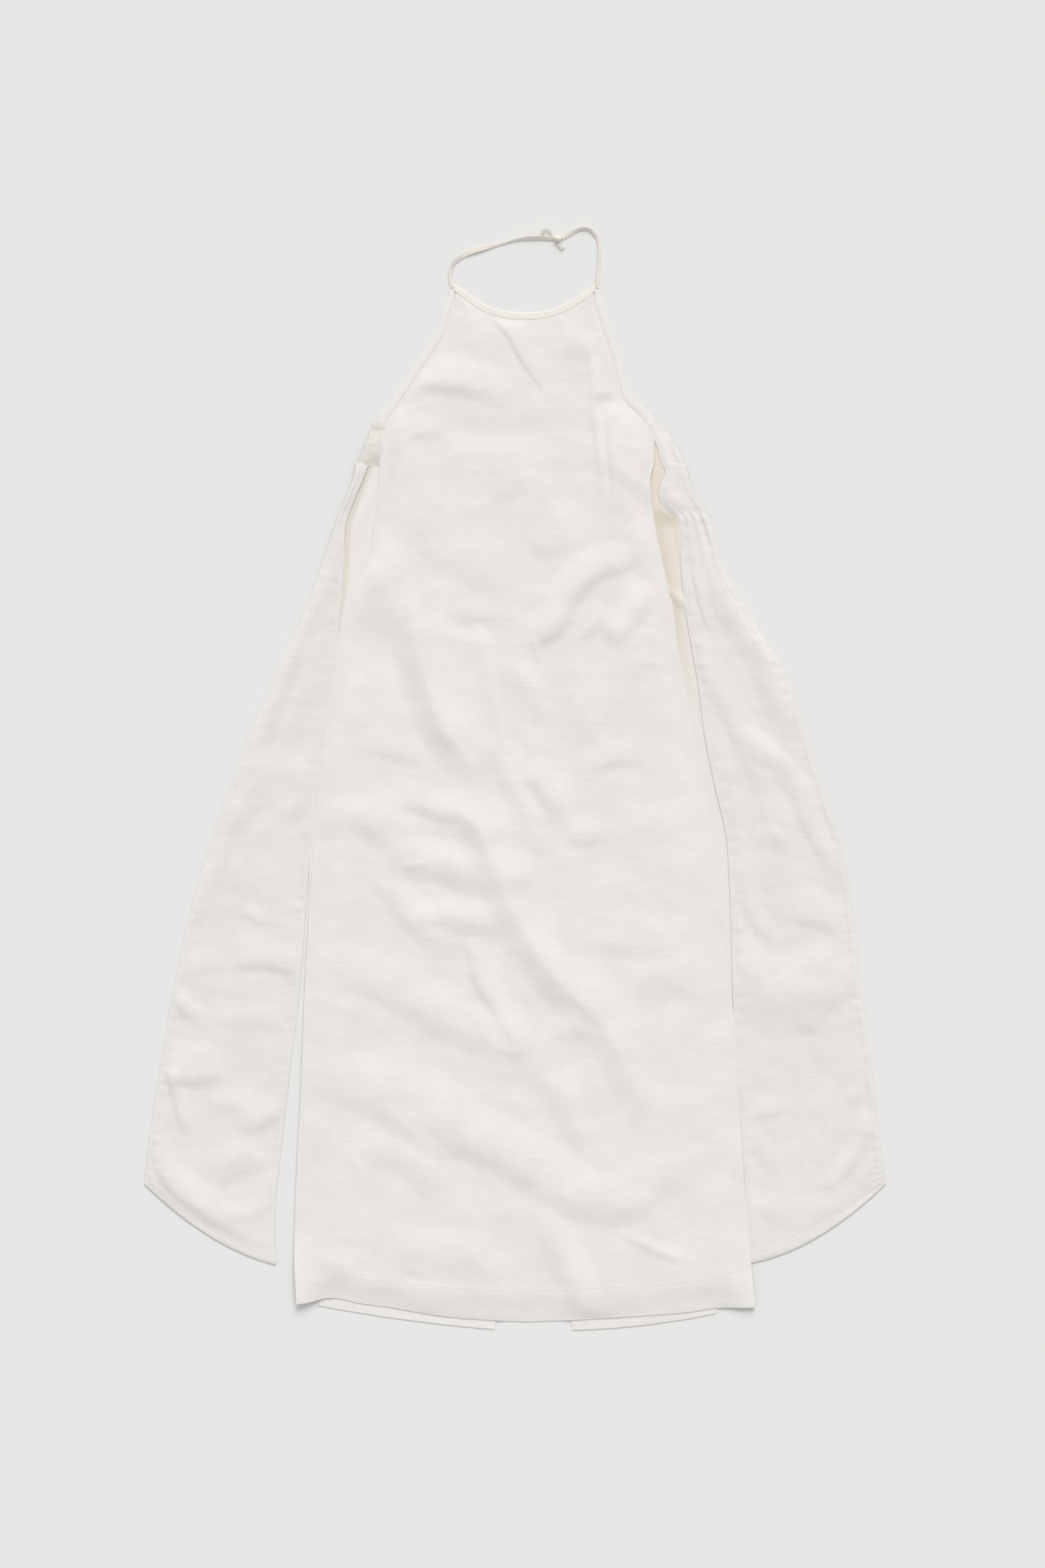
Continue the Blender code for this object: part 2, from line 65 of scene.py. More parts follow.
camera_height = PICTURE[1] * PIXEL * LENS / IMAGE_SIDE
lens = bpy.data.cameras.new("camera")
lens.lens, lens.sensor_width = LENS, IMAGE_SIDE
lens.clip_end = 100           # m, well beyond the floor
camera = bpy.data.objects.new("camera", lens)
camera.location = (CAMERA_OVER[0] * MM, CAMERA_OVER[1] * MM, camera_height * MM)
bpy.context.scene.collection.objects.link(camera)
bpy.context.scene.camera = camera
print("camera height in m:", round(camera_height * MM, 3))

# %% [markdown]
# ## Light and floor
# White cloth on a pale floor reads by its shadows alone, so the balance of two lights matters more than
# their strength. Most light comes evenly from all round, as from the walls of a white studio. The rest is
# one very large soft lamp beyond the straps, which leaves the side of each fold towards the hem in soft
# shade. A matt surface under an even light L looks as bright as its colour times L. A lamp of strength E
# that stands at an angle over the floor adds E * sin(angle) / pi, so both are set from the share of the
# light that each should give.

# %% Light and floor
LAMP_SHARE = 0.40             # of all the light on the floor
LAMP_HEIGHT = 34.0            # degrees over the floor
LAMP_HEADING = 84.0           # degrees from +X towards +Y, where it stands
LAMP_SPREAD = 40.0            # degrees of sky that it fills
FLOOR_SIZE = 14000.0
FLOOR_DEPTH = 0.05            # the floor lies a hair under the cloth, so their faces don't share a plane
PAPER_TONE = "#E7E7E5"


def linear(hex_colour):
    """The linear colour of an sRGB hex value: each channel c is c / 12.92 up to 0.04045, and above that
    ((c + 0.055) / 1.055) ** 2.4."""
    channels = np.array([int(hex_colour[i:i + 2], 16) for i in (1, 3, 5)]) / 255
    low, high = channels / 12.92, ((channels + 0.055) / 1.055) ** 2.4
    return (*np.where(channels <= 0.04045, low, high).tolist(), 1.0)


def add_node(tree, kind, inputs, **settings):
    """Adds a node, gives it its settings, and links or sets each named or numbered input."""
    node = tree.nodes.new(kind)
    for setting, value in settings.items():
        setattr(node, setting, value)
    for socket, value in inputs.items():
        if isinstance(value, bpy.types.NodeSocket):
            tree.links.new(value, node.inputs[socket])
        else:
            node.inputs[socket].default_value = value
    return node


def new_material(name):
    """An empty material and its node tree."""
    material = bpy.data.materials.new(name)
    material.use_nodes = True
    material.node_tree.nodes.clear()
    return material, material.node_tree


scene = bpy.context.scene
scene.view_settings.view_transform = "Standard"
world = bpy.data.worlds.new("white_studio")
world.use_nodes = True
sky = world.node_tree.nodes["Background"]
sky.inputs["Color"].default_value = (1, 1, 1, 1)
sky.inputs["Strength"].default_value = 1 - LAMP_SHARE
scene.world = world

lamp = bpy.data.lights.new("large_soft_lamp", "SUN")
lamp.energy = np.pi * LAMP_SHARE / np.sin(np.radians(LAMP_HEIGHT))
lamp.angle = np.radians(LAMP_SPREAD)
lamp_object = bpy.data.objects.new("large_soft_lamp", lamp)
lamp_object.rotation_euler = (np.radians(90 - LAMP_HEIGHT), 0, np.radians(LAMP_HEADING + 90))
scene.collection.objects.link(lamp_object)

# Seamless studio paper: a matt sheet without a grain that shows from this height.
paper, tree = new_material("studio_paper")
surface = add_node(tree, "ShaderNodeBsdfDiffuse", {"Color": linear(PAPER_TONE), "Roughness": 0.0})
add_node(tree, "ShaderNodeOutputMaterial", {"Surface": surface.outputs["BSDF"]})

side, low = FLOOR_SIZE / 2 * MM, -FLOOR_DEPTH * MM
corners = [(-side, -side, low), (side, -side, low), (side, side, low), (-side, side, low)]
floor_mesh = bpy.data.meshes.new("floor")
floor_mesh.from_pydata(corners, [], [(0, 1, 2, 3)])
floor_mesh.materials.append(paper)
floor = bpy.data.objects.new("floor", floor_mesh)
scene.collection.objects.link(floor)
print("even light:", round(1 - LAMP_SHARE, 2), "lamp:", round(lamp.energy, 2))

# %% [markdown]
# ## Curves through a few measured points
# A pattern cutter marks a few points and draws a fair curve through them. The same is done here: a curve
# is a table of points, read with a cubic in each span whose slope at a point is the mean of the two
# straight runs that meet there. It can't swing far from its points, as stiffer splines do.

# %% Curves


def smooth_between(knots, values, at):
    """The values at `at` on a smooth curve through the knots: a cubic in each span, whose slope at a
    knot is the mean of the two straight runs that meet there."""
    knots, values, at = np.asarray(knots, float), np.asarray(values, float), np.asarray(at, float)
    runs = np.diff(values, axis=0) / np.diff(knots)[:, None]
    slopes = np.vstack([runs[:1], (runs[1:] + runs[:-1]) / 2, runs[-1:]])
    span = np.clip(np.searchsorted(knots, at, side="right") - 1, 0, len(knots) - 2)
    length = (knots[span + 1] - knots[span])[:, None]
    t = (at - knots[span])[:, None] / length
    start, end = values[span], values[span + 1]
    rise = 3 * t**2 - 2 * t**3
    lean_in, lean_out = t**3 - 2 * t**2 + t, t**3 - t**2
    return start + (end - start) * rise + length * (slopes[span] * lean_in + slopes[span + 1] * lean_out)


def distances(points):
    """How far along a run of points each of them lies."""
    return np.concatenate([[0], np.cumsum(np.linalg.norm(np.diff(points, axis=0), axis=1))])


def evenly(points, columns, count):
    """Reads the columns at evenly spaced places along the smooth curve through the points."""
    knots = distances(np.asarray(points, float))
    return smooth_between(knots, columns, np.linspace(0, knots[-1], count))


def unit(vectors):
    """Each row's vector, made 1 long."""
    return vectors / np.linalg.norm(vectors, axis=1)[:, None]


def smooth_step(value):
    """0 below 0, 1 above 1, and a soft S between them."""
    value = np.clip(value, 0, 1)
    return value * value * (3 - 2 * value)


print("a soft step, a quarter and half of the way:", smooth_step(0.25), smooth_step(0.5))

# %% [markdown]
# ## The cut of each panel
# A panel is a set of lines across it, from its left end to its right end, from its head down to its hem.
# The drop is how far a line's middle hangs lower than its ends, and the bow is how flat that curve is in
# its middle. A line that gives neither is straight. Any place on the panel then has two numbers: how far
# across, and how far along.

# %% Panel lines
WALL = 0.8            # thickness of a turned edge, three layers of washed linen
SEAM_GAP = 0.1        # between two layers that lie on each other
LAYER = WALL + SEAM_GAP
Line = namedtuple("Line", "left_x left_y right_x right_y drop bow", defaults=[0, 2.0])


def rows(kind, table):
    """A table of plain rows, with each row's numbers named as the fields of its kind."""
    return [kind(*row) for row in table]


FRONT = rows(Line, (
    (-73, 611, 98, 611, 34, 2.4),
    (-81, 588, 104, 588, 27, 2.4),
    (-90, 557, 114, 557, 18, 2.3),
    (-108, 530, 123, 530, 12, 2.2),
    (-127, 501, 131, 501, 7, 2.1),
    (-144, 475, 139, 475, 4, 2),
    (-155, 459, 155, 459, 2, 2),
    (-165, 444, 168, 444),
    (-170.5, 427, 175, 428),
    (-171, 410, 176, 410),
    (-171, 394, 175, 394),
    (-171.5, 377, 170.5, 377),
    (-173, 354, 172, 354),
    (-178, 317, 177, 317),
    (-181, 291, 182, 291),
    (-195, 255, 190, 255),
    (-215, 218, 199, 218),
    (-221.5, 168, 205, 168),
    (-229.5, 113, 216, 113),
    (-240, 56, 224, 56),
    (-248, -10, 239, -10, 1, 2),
    (-252, -70, 250, -70, 1, 2),
    (-258, -145, 260, -145, 2, 1.9),
    (-262, -210, 267, -210, 3, 1.8),
    (-266, -290, 275, -290, 4, 1.7),
    (-270, -401, 282, -401, 7, 1.6),
    (-275, -495, 288, -495, 11, 1.5),
    (-278, -602, 297, -602, 17, 1.4),
    (-275, -664, 303, -667, 20, 1.3),
))
BACK_LEFT = rows(Line, (
    (-188, 396, -0.2, 396),
    (-203.5, 357, 0.3, 357),
    (-216.5, 321, 0.8, 321),
    (-219.5, 270, 1.5, 270),
    (-223.5, 222, 2.2, 222),
    (-228, 168, 3, 168),
    (-236, 113, 3.8, 113),
    (-245.5, 56, 4.6, 56),
    (-252.5, -10, 5.4, -10),
    (-257, -70, 6.2, -70),
    (-259.5, -145, 7, -145),
    (-257, -210, 7.9, -210),
    (-261, -290, 7, -290),
    (-265, -401, -3, -401),
    (-268, -602, -19, -620, 2, 2),
    (-247, -665, -25, -695, 3, 2),
))
BACK_RIGHT = rows(Line, (
    (0.2, 400, 189, 434),
    (0.7, 357, 206, 350),
    (1.2, 321, 211, 318),
    (1.9, 270, 216, 268),
    (2.6, 224, 220, 222),
    (3.4, 168, 228, 168),
    (4.2, 113, 237, 113),
    (5, 56, 245, 56),
    (6.8, -70, 272, -70),
    (9.1, -210, 283, -210),
    (13, -290, 284, -290),
    (28, -401, 279, -401),
    (60, -630, 287, -602, 3, 2),
    (73, -696, 253, -675, 4, 2),
))
TIE_LEFT = rows(Line, (
    (-200.4, 397.5, -183.6, 396),
    (-203.5, 378, -190.5, 376),
    (-210, 359, -199, 357),
    (-224, 325, -212, 321),
    (-240, 279, -215.5, 270),
    (-260, 224, -219.5, 220),
    (-298, 140, -228.5, 140),
    (-333, 58, -243.5, 50),
    (-372, -47, -253.5, -49),
    (-405, -152, -262, -150),
    (-431, -271, -271.5, -271),
    (-449, -376, -284, -376),
    (-461, -455, -296, -481, 3, 2),
    (-465, -490, -302, -549, 8, 2),
    (-467, -512, -301, -614, 15, 2),
))
TIE_RIGHT = rows(Line, (
    (187.5, 396.5, 216, 395.5),
    (189, 384, 217.5, 385),
    (184, 371, 220.5, 373),
    (181.5, 358, 225.5, 360),
    (184, 346, 232.5, 349),
    (193, 336, 239, 340),
    (202.5, 329, 243, 332),
    (207, 300, 252, 304),
    (209.5, 258, 263, 265),
    (214, 218, 288, 224),
    (221, 174, 314, 178),
    (230.5, 119, 345, 124),
    (238.5, 56, 365, 60),
    (252, -11, 387, -7),
    (266, -74, 408, -74),
    (271, -152, 424, -152),
    (274, -250, 434.5, -250),
    (277, -338, 446.5, -337),
    (281.5, -431, 457.5, -429),
    (287, -498, 464, -485, 3, 2),
    (291, -562, 466.5, -500, 9, 2),
    (296, -612, 467, -512, 17, 2),
))
GATHER_LEFT = rows(Line, (
    (-178, 451, -162.8, 443.4),
    (-182.5, 439, -166.4, 434.5),
    (-185.8, 428.5, -168.4, 425.5),
    (-189.5, 418, -168.8, 414.5),
    (-194.5, 406, -168.8, 403.5),
    (-199.9, 394, -168.9, 391),
))
GATHER_RIGHT = rows(Line, (
    (165.5, 445, 177.5, 450),
    (170.5, 436, 187, 441),
    (175.5, 426, 195, 431),
    (179.5, 416, 202, 419),
    (182.5, 404, 209, 406),
    (187.5, 391, 215.8, 391.5),
))
print("lines across the front:", len(FRONT), "across the ties:", len(TIE_LEFT), "and", len(TIE_RIGHT))

# %% [markdown]
# ## From a place on the cloth to a place on the floor
# Reading each column of a panel's table as a smooth curve gives a line across it at any place on the way
# down. The area of each panel comes with that, which shows how much cloth the dress takes.

# %% Lay out


def lay_out(lines, across, along):
    """Where places on a panel lie. `across` runs from 0 at the left edge to 1 at the right, and `along`
    from 0 at the head to 1 at the hem. The lines are read as smooth curves of the way down the middle, and
    a line's points hang lower than its ends by drop * (1 - |2 * across - 1| ** bow). Returns x, y, the
    width of the panel there and the length of its middle."""
    table = np.array(lines, float)
    knots = distances((table[:, 0:2] + table[:, 2:4]) / 2)
    columns = smooth_between(knots, table, np.ravel(along) * knots[-1]).T
    left_x, left_y, right_x, right_y, drop, bow = columns.reshape(6, *np.shape(along))
    x = left_x + (right_x - left_x) * across
    y = left_y + (right_y - left_y) * across - drop * (1 - np.abs(2 * across - 1) ** bow)
    return x, y, np.hypot(right_x - left_x, right_y - left_y), knots[-1]


for name, lines in (("front", FRONT), ("left back", BACK_LEFT), ("left tie", TIE_LEFT)):
    _, _, width, length = lay_out(lines, 0.5, np.linspace(0, 1, 200))
    area = width.mean() * length * MM * MM
    print(name, "length", round(length), "mm, area", round(area, 3), "square metres")

# %% [markdown]
# ## Folds
# Cloth that is smoothed out by hand keeps a few long soft folds. Each is a ridge that follows its own
# route over the panel, with x, y and a height at each point of it, or no height where it starts and ends
# flat. It is gentle on one side and steep on the other, because the cloth leans: the route is traced with
# the side towards the light on its left hand, and the two numbers before it are the widths of both sides.
# Across the ridge the height falls off as (1 - s ** bend) ** 2, where s is the distance over the width of
# that side. A bend of 2 is a soft ridge, and one of 1.3 has a sharp crest, with its steepest cloth close
# beside it. A negative height is a trough. A real fold is never even, so a slow random wave along it makes
# the height swell and sink a little.

# %% Folds
Fold = namedtuple("Fold", "name light dark route bend", defaults=[2.0])
FRONT_FOLDS = rows(Fold, (
    ("neck_ease", 12, 18, ((-71, 592), (-56, 582, 0.4), (-41, 574, 0.4), (-29, 562))),
    ("neck_pleat", 34, 7, (
        (-38, 592, 0.9), (-19, 572, 1.6), (-4, 554, 2), (13, 528, 1.9), (26, 508, 1.3), (40, 488, 0.6),
        (48, 473),
    )),
    ("shoulder_swell", 24, 26, ((56, 550), (74, 547, 1.7), (94, 544, 1.9), (110, 539))),
    ("chest_roll", 40, 20, (
        (-142, 488), (-125, 498, 2), (-103, 501, 3.5), (-78, 499, 3.7), (-56, 494, 2.7), (-36, 486, 2),
        (-17, 475, 1.3), (0, 456, 0.6), (6, 434),
    )),
    ("chest_echo", 24, 18, ((-140, 434), (-123, 438, 1.1), (-103, 438, 1.2), (-81, 433))),
    ("chest_inner", 12, 8, (
        (95, 547), (97, 518, 1.6), (100, 476, 1.9), (105, 434, 2.1), (109, 392, 2), (111, 363, 1.1),
        (112, 338),
    )),
    ("chest_outer", 22, 8, (
        (118, 489), (121, 459, 1.9), (122, 426, 2.5), (123, 392, 2.6), (126, 359, 2), (127, 329, 1.3),
        (127, 300),
    )),
    ("underarm_swell", 58, 24, (
        (109, 405), (122, 399, 1.5), (138, 389, 2.3), (155, 377, 2.6), (168, 362, 1.6), (177, 349),
    )),
    ("side_valley", 16, 22, (
        (146, 401), (149, 367, 1.8), (153, 330, 2.6), (160, 300, 2.8), (164, 272, 1.8), (166, 250),
    )),
    ("left_roll", 14, 16, ((-152, 473), (-150, 451, 1.6), (-150, 426, 2), (-153, 401, 1.2), (-155, 375))),
    ("bust_swell", 62, 26, (
        (-130, 342), (-111, 317, 0.6), (-99, 293, 0.9), (-78, 275, 1), (-51, 265, 1.1), (-26, 251, 1.2),
        (-2, 241, 0.8), (16, 238),
    )),
    ("middle_swell", 50, 40, ((-61, 392), (-27, 379, 1.2), (6, 382, 1.4), (40, 392))),
    ("middle_low", 50, 24, ((15, 308), (40, 298, 1.5), (65, 302, 1.8), (90, 315))),
    ("waist_roll", 34, 19, (
        (-6, 173), (11, 175, 1.3), (28, 180, 2.5), (45, 188, 3.9), (56, 202, 4.6), (66, 221, 4.1),
        (78, 239, 4.1), (93, 255, 3.9), (110, 265, 3.6), (130, 269, 2.7), (147, 281, 1.7), (157, 299),
    )),
    ("waist_echo", 32, 24, (
        (112, 172), (125, 184, 3), (140, 198, 4.4), (151, 216, 4), (158, 234, 2.2), (163, 250),
    )),
    ("waist_side", 24, 24, ((118, 174), (132, 178, 1.7), (150, 178, 1.7), (166, 174))),
    ("waist_end", 20, 20, ((-2, 160), (10, 161, 1), (22, 162, 1), (33, 163))),
    ("chest_spot", 14, 30, ((98, 470), (107, 472, -2.2), (118, 472, -2.2), (128, 469))),
    ("waist_low", 12, 10, ((80, 174), (94, 186, 1.3), (105, 203, 1.5), (111, 220))),
    ("belly_edge", 18, 16, (
        (-92, 196), (-74, 190, -1.2), (-55, 188, -1.6), (-40, 187, -1.2), (-20, 184),
    )),
    ("belly_crease", 12, 16, (
        (-45, 184, 0.6), (-41, 161, 1.2), (-32, 130, 1.2), (-25, 90, 1.3), (-17, 58, 1), (-10, 31),
    )),
    ("belly_hollow", 26, 26, ((-21, 161), (-2, 136, 1.6), (16, 115, 2), (23, 90, 1.2), (28, 65))),
    ("long_upper", 66, 36, (
        (-135, 247), (-130, 203, 4.8), (-124, 160, 6), (-115, 126, 6.6), (-105, 96, 7), (-92, 67, 7),
        (-77, 44, 6.4), (-61, 22, 4.2), (-51, -5, 1.6), (-46, -32),
    ), 1.3),
    ("long_branch", 30, 25, (
        (-49, 54), (-30, 40, 1.2), (-14, 20, 1.7), (-3, -6, 2.2), (8, -34, 2.5), (20, -61, 2.1),
        (34, -82, 1), (38, -103),
    ), 1.5),
    ("long_lower", 60, 36, (
        (-94, -36), (-69, -42, 4), (-47, -61, 5.9), (-35, -88, 5.9), (-27, -115, 5.9), (-16, -140, 5.9),
        (-5, -163, 5.4), (9, -187, 5), (26, -219, 6.4), (44, -245, 7.4), (65, -266, 7.4), (88, -288, 6),
        (110, -313, 4.6), (130, -343, 3.6), (148, -377, 2.8), (160, -413, 1.8), (162, -451),
    ), 1.35),
    ("second_fold", 30, 18, (
        (13, 18), (27, -1, 3.2), (42, -26, 3.2), (50, -53, 1.4), (55, -87, 0.9), (62, -129, 1.1),
        (65, -171, 1.1), (72, -204, 1.1), (80, -234),
    )),
    ("bright_step", 30, 30, ((-39, -108), (-17, -113, 1.4), (8, -120, 1.6), (28, -125))),
    ("cross_left", 46, 36, ((-212, -29), (-191, -39, 2), (-168, -55, 3), (-145, -76, 2.6), (-128, -98))),
    ("cross_one", 34, 18, ((-195, 43), (-174, 41, 1.4), (-149, 36, 1.7), (-124, 29, 1.4), (-103, 23))),
    ("cross_two", 30, 18, ((-158, -30), (-134, -29, 1.8), (-110, -33, 2.2), (-87, -42, 1.9), (-68, -51))),
    ("cross_three", 36, 30, (
        (-178, -96), (-148, -102, 2.8), (-113, -105, 4.2), (-86, -112, 4.4), (-61, -119, 3.4),
        (-39, -121, 1.5), (-22, -123),
    )),
    ("cross_four", 26, 23, (
        (-190, -110), (-163, -133, 1.5), (-144, -154, 2.5), (-128, -173, 2.9), (-111, -189, 2),
        (-100, -208, 1.4), (-94, -231),
    )),
    ("cross_five", 28, 24, (
        (-118, -156), (-99, -168, 1.8), (-71, -176, 2.8), (-46, -178, 2.8), (-21, -178, 1.6), (3, -182),
    )),
    ("soft_ridge", 27, 12, (
        (-58, -197), (-51, -221, 2.2), (-45, -248, 2.6), (-32, -273, 2.6), (-16, -295, 2.2),
        (-4, -322, 1.8), (15, -354),
    )),
    ("broad_edge", 46, 30, (
        (-220, -242), (-182, -255, 1.6), (-145, -272, 2.4), (-111, -291, 3.2), (-83, -311, 3.2),
        (-59, -319, 2.9), (-34, -323, 2.1), (-5, -333, 1.8), (15, -347, 1.9), (28, -370, 1.9),
        (38, -399, 1.3), (45, -433, 0.7), (47, -458),
    )),
    ("inner_floor", 16, 18, ((33, -318), (53, -315, 0.9), (75, -314, 1.2), (97, -323, 0.9), (111, -334))),
    ("inner_swell", 26, 26, ((52, -372), (65, -406, 1.8), (79, -439, 1.8), (99, -461))),
    ("u_fold", 52, 34, (
        (-261, -369), (-229, -375, 1.6), (-200, -388, 2.2), (-174, -399, 2.8), (-145, -407, 3.2),
        (-111, -414, 3), (-88, -429, 3.5), (-65, -448, 3.9), (-40, -463, 3.9), (-14, -474, 3.8),
        (11, -490, 3.9), (37, -508, 3.9), (65, -522, 3.8), (94, -532, 3.6), (124, -534, 3.3),
        (149, -528, 2.8), (173, -511, 2.3), (191, -486, 1.9), (205, -452, 1.5), (210, -414, 1), (208, -364),
    )),
    ("u_start", 26, 20, (
        (-200, -418), (-168, -427, 1.6), (-134, -440, 2.3), (-100, -460, 2), (-73, -479),
    )),
    ("hem_trough", 30, 26, (
        (23, -518), (36, -550, 2.8), (50, -579, 3.6), (63, -606, 3.6), (75, -631, 3), (87, -658, 2.4),
        (104, -686, 2),
    )),
    ("low_left", 36, 30, (
        (-212, -461), (-178, -466, 1.6), (-136, -483, 2), (-103, -505, 1.6), (-69, -532),
    )),
    ("hem_swell", 40, 34, ((-178, -599), (-128, -596, 1.2), (-61, -602, 1.6), (-2, -607))),
    ("pull_right", 16, 5, ((127, -575), (158, -588, 1.2), (191, -601, 1.2), (233, -612))),
    ("right_one", 30, 19, ((80, -4), (97, 13, 1.8), (117, 26, 2.4), (141, 29, 1.8), (168, 28))),
    ("right_two", 28, 20, ((63, -66), (79, -70, 2), (95, -71, 2), (117, -61))),
    ("right_three", 30, 20, ((132, -62), (162, -60, 0.8), (195, -55, 0.9), (225, -52))),
    ("right_four", 28, 26, ((136, -118), (166, -112, 0.8), (200, -110, 0.9), (233, -115))),
    ("right_five", 46, 24, ((90, -199), (132, -204, 1.8), (174, -207, 1.8), (225, -199))),
    ("right_six", 40, 36, ((132, -248), (166, -244, 2), (208, -249, 2), (250, -255))),
    ("right_shade", 46, 46, ((87, 39), (100, 73, 1.8), (114, 115, 2.6), (132, 153, 2.2), (149, 178))),
    ("left_mid", 32, 30, ((-257, -58), (-229, -50, 1.6), (-199, -50, 1.6), (-170, -55))),
    ("corner_hollow", 26, 24, ((-256, -606), (-238, -611, 1.8), (-219, -612, 1.8), (-202, -608))),
))
print("folds on the front:", len(FRONT_FOLDS))

# %% [markdown]
# ## Creases, and the folds of the other pieces
# A crease is a fold only a few millimetres wide and less than one high. The ties hang from one gathered
# point each, so their folds run down the cloth near the head and across it further down. The back and the
# gathered heads show so little that a few folds each are enough.

# %% Creases and small folds
FRONT_CREASES = rows(Fold, (
    ("neck_short", 8, 5, ((-79, 619, 1), (-69, 607, 1), (-62, 596, 0.8), (-57, 582))),
    ("dart_left", 5, 3, ((-145, 424), (-135, 428, 0.7), (-121, 433, 0.7), (-111, 434))),
    ("dart_right", 5, 3, ((129, 421), (141, 417, 0.6), (154, 411, 0.6), (163, 407))),
    ("mark_middle", 5, 4, ((-63, 391), (-52, 389, 0.6), (-42, 386, 0.5), (-34, 382))),
    ("waist_pinch", 6, 5, ((16, 181, 0.3), (23, 169, 1), (26, 157, 0.8), (28, 144))),
    ("line_one", 5, 4, ((141, 199), (156, 201, 0.4), (169, 199, 0.4), (183, 197))),
    ("line_two", 5, 4, ((144, 145), (162, 144, 0.5), (181, 142, 0.5), (194, 142))),
    ("line_three", 4, 4, ((149, 127), (162, 127, 0.4), (174, 128))),
    ("line_four", 6, 4, ((-148, -115), (-133, -113, 0.9), (-116, -112, 0.6), (-103, -112))),
    ("line_five", 6, 4, ((-32, -339), (-17, -342, 0.5), (-2, -344, 0.5), (10, -349))),
    ("line_six", 5, 4, ((-69, -194), (-51, -195, 0.6), (-27, -196))),
    ("line_seven", 6, 5, ((-148, -619), (-126, -621, 0.6), (-103, -624))),
    ("line_eight", 4, 4, ((79, -361), (92, -362, 0.4), (107, -361))),
))
TIE_LEFT_FOLDS = rows(Fold, (
    ("outer_roll", 22, 28, (
        (-224, 308), (-237, 266, 2.6), (-254, 220, 3.2), (-273, 174, 3.4), (-293, 128, 3.4),
        (-311, 81, 3.4), (-330, 31, 3.2), (-348, -15, 2.8), (-365, -61, 2.6), (-382, -112, 2.4),
        (-395, -154, 2), (-405, -196),
    )),
    ("inner_roll", 18, 18, ((-229, 266), (-241, 207, 2), (-254, 153, 2.4), (-266, 98, 2), (-273, 48))),
    ("seam_swell", 26, 20, ((-276, 26), (-269, -8, 2.2), (-274, -28, 2.4), (-288, -39, 2), (-303, -45))),
    ("middle_band", 20, 20, ((-353, -70), (-343, -46, 2), (-330, -19, 2.4), (-320, 8, 2), (-313, 39))),
    ("small_ridge", 16, 8, ((-348, -169), (-335, -172, 1), (-320, -179, 1), (-304, -182))),
    ("seam_spot", 14, 10, ((-298, -162), (-286, -164, 0.7), (-274, -162, 0.7), (-266, -159))),
    ("shelf", 34, 15, (
        (-360, -231), (-345, -231, 1.7), (-321, -229, 1.9), (-299, -233, 1.8), (-279, -241, 1.4),
        (-269, -249),
    )),
    ("shelf_left", 22, 20, ((-434, -236), (-415, -236, 1), (-392, -234, 0.8), (-368, -231))),
    ("outer_pit", 18, 14, (
        (-436, -273), (-424, -280, 2.1), (-412, -292, 2.3), (-400, -303, 1.3), (-392, -313),
    )),
    ("low_swell", 24, 20, (
        (-388, -280), (-367, -297, 0.9), (-338, -303, 1), (-309, -305, 0.8), (-288, -310),
    )),
    ("bright_patch", 44, 20, (
        (-442, -374), (-425, -374, 2.6), (-405, -375, 3.1), (-385, -370, 2.3), (-367, -364),
    )),
    ("outer_edge", 9, 16, (
        (-417, -448), (-420, -428, 2.2), (-425, -406, 2.5), (-430, -384, 2.4), (-436, -364),
    )),
    ("inner_patch", 36, 18, (
        (-350, -443), (-333, -439, 2), (-315, -428, 2.5), (-299, -414, 1.8), (-293, -402),
    )),
    ("low_ridge", 22, 20, ((-397, -397), (-372, -407, 1.1), (-345, -406, 1.1), (-326, -399))),
    ("dark_hollow", 26, 26, (
        (-397, -495), (-375, -491, 2), (-355, -485, 2.4), (-336, -472, 1.8), (-323, -463),
    )),
    ("hollow_side", 14, 10, ((-333, -483), (-318, -485, 0.9), (-306, -486))),
    ("corner_ridge", 34, 14, (
        (-456, -446), (-452, -470, 1.6), (-445, -491, 2.7), (-434, -508, 3.2), (-420, -523, 3),
        (-400, -538, 2.6), (-375, -554, 2), (-350, -568, 1.2), (-325, -581),
    )),
    ("hem_line", 22, 12, ((-367, -555), (-346, -550, 0.9), (-326, -549, 0.9), (-309, -550))),
))
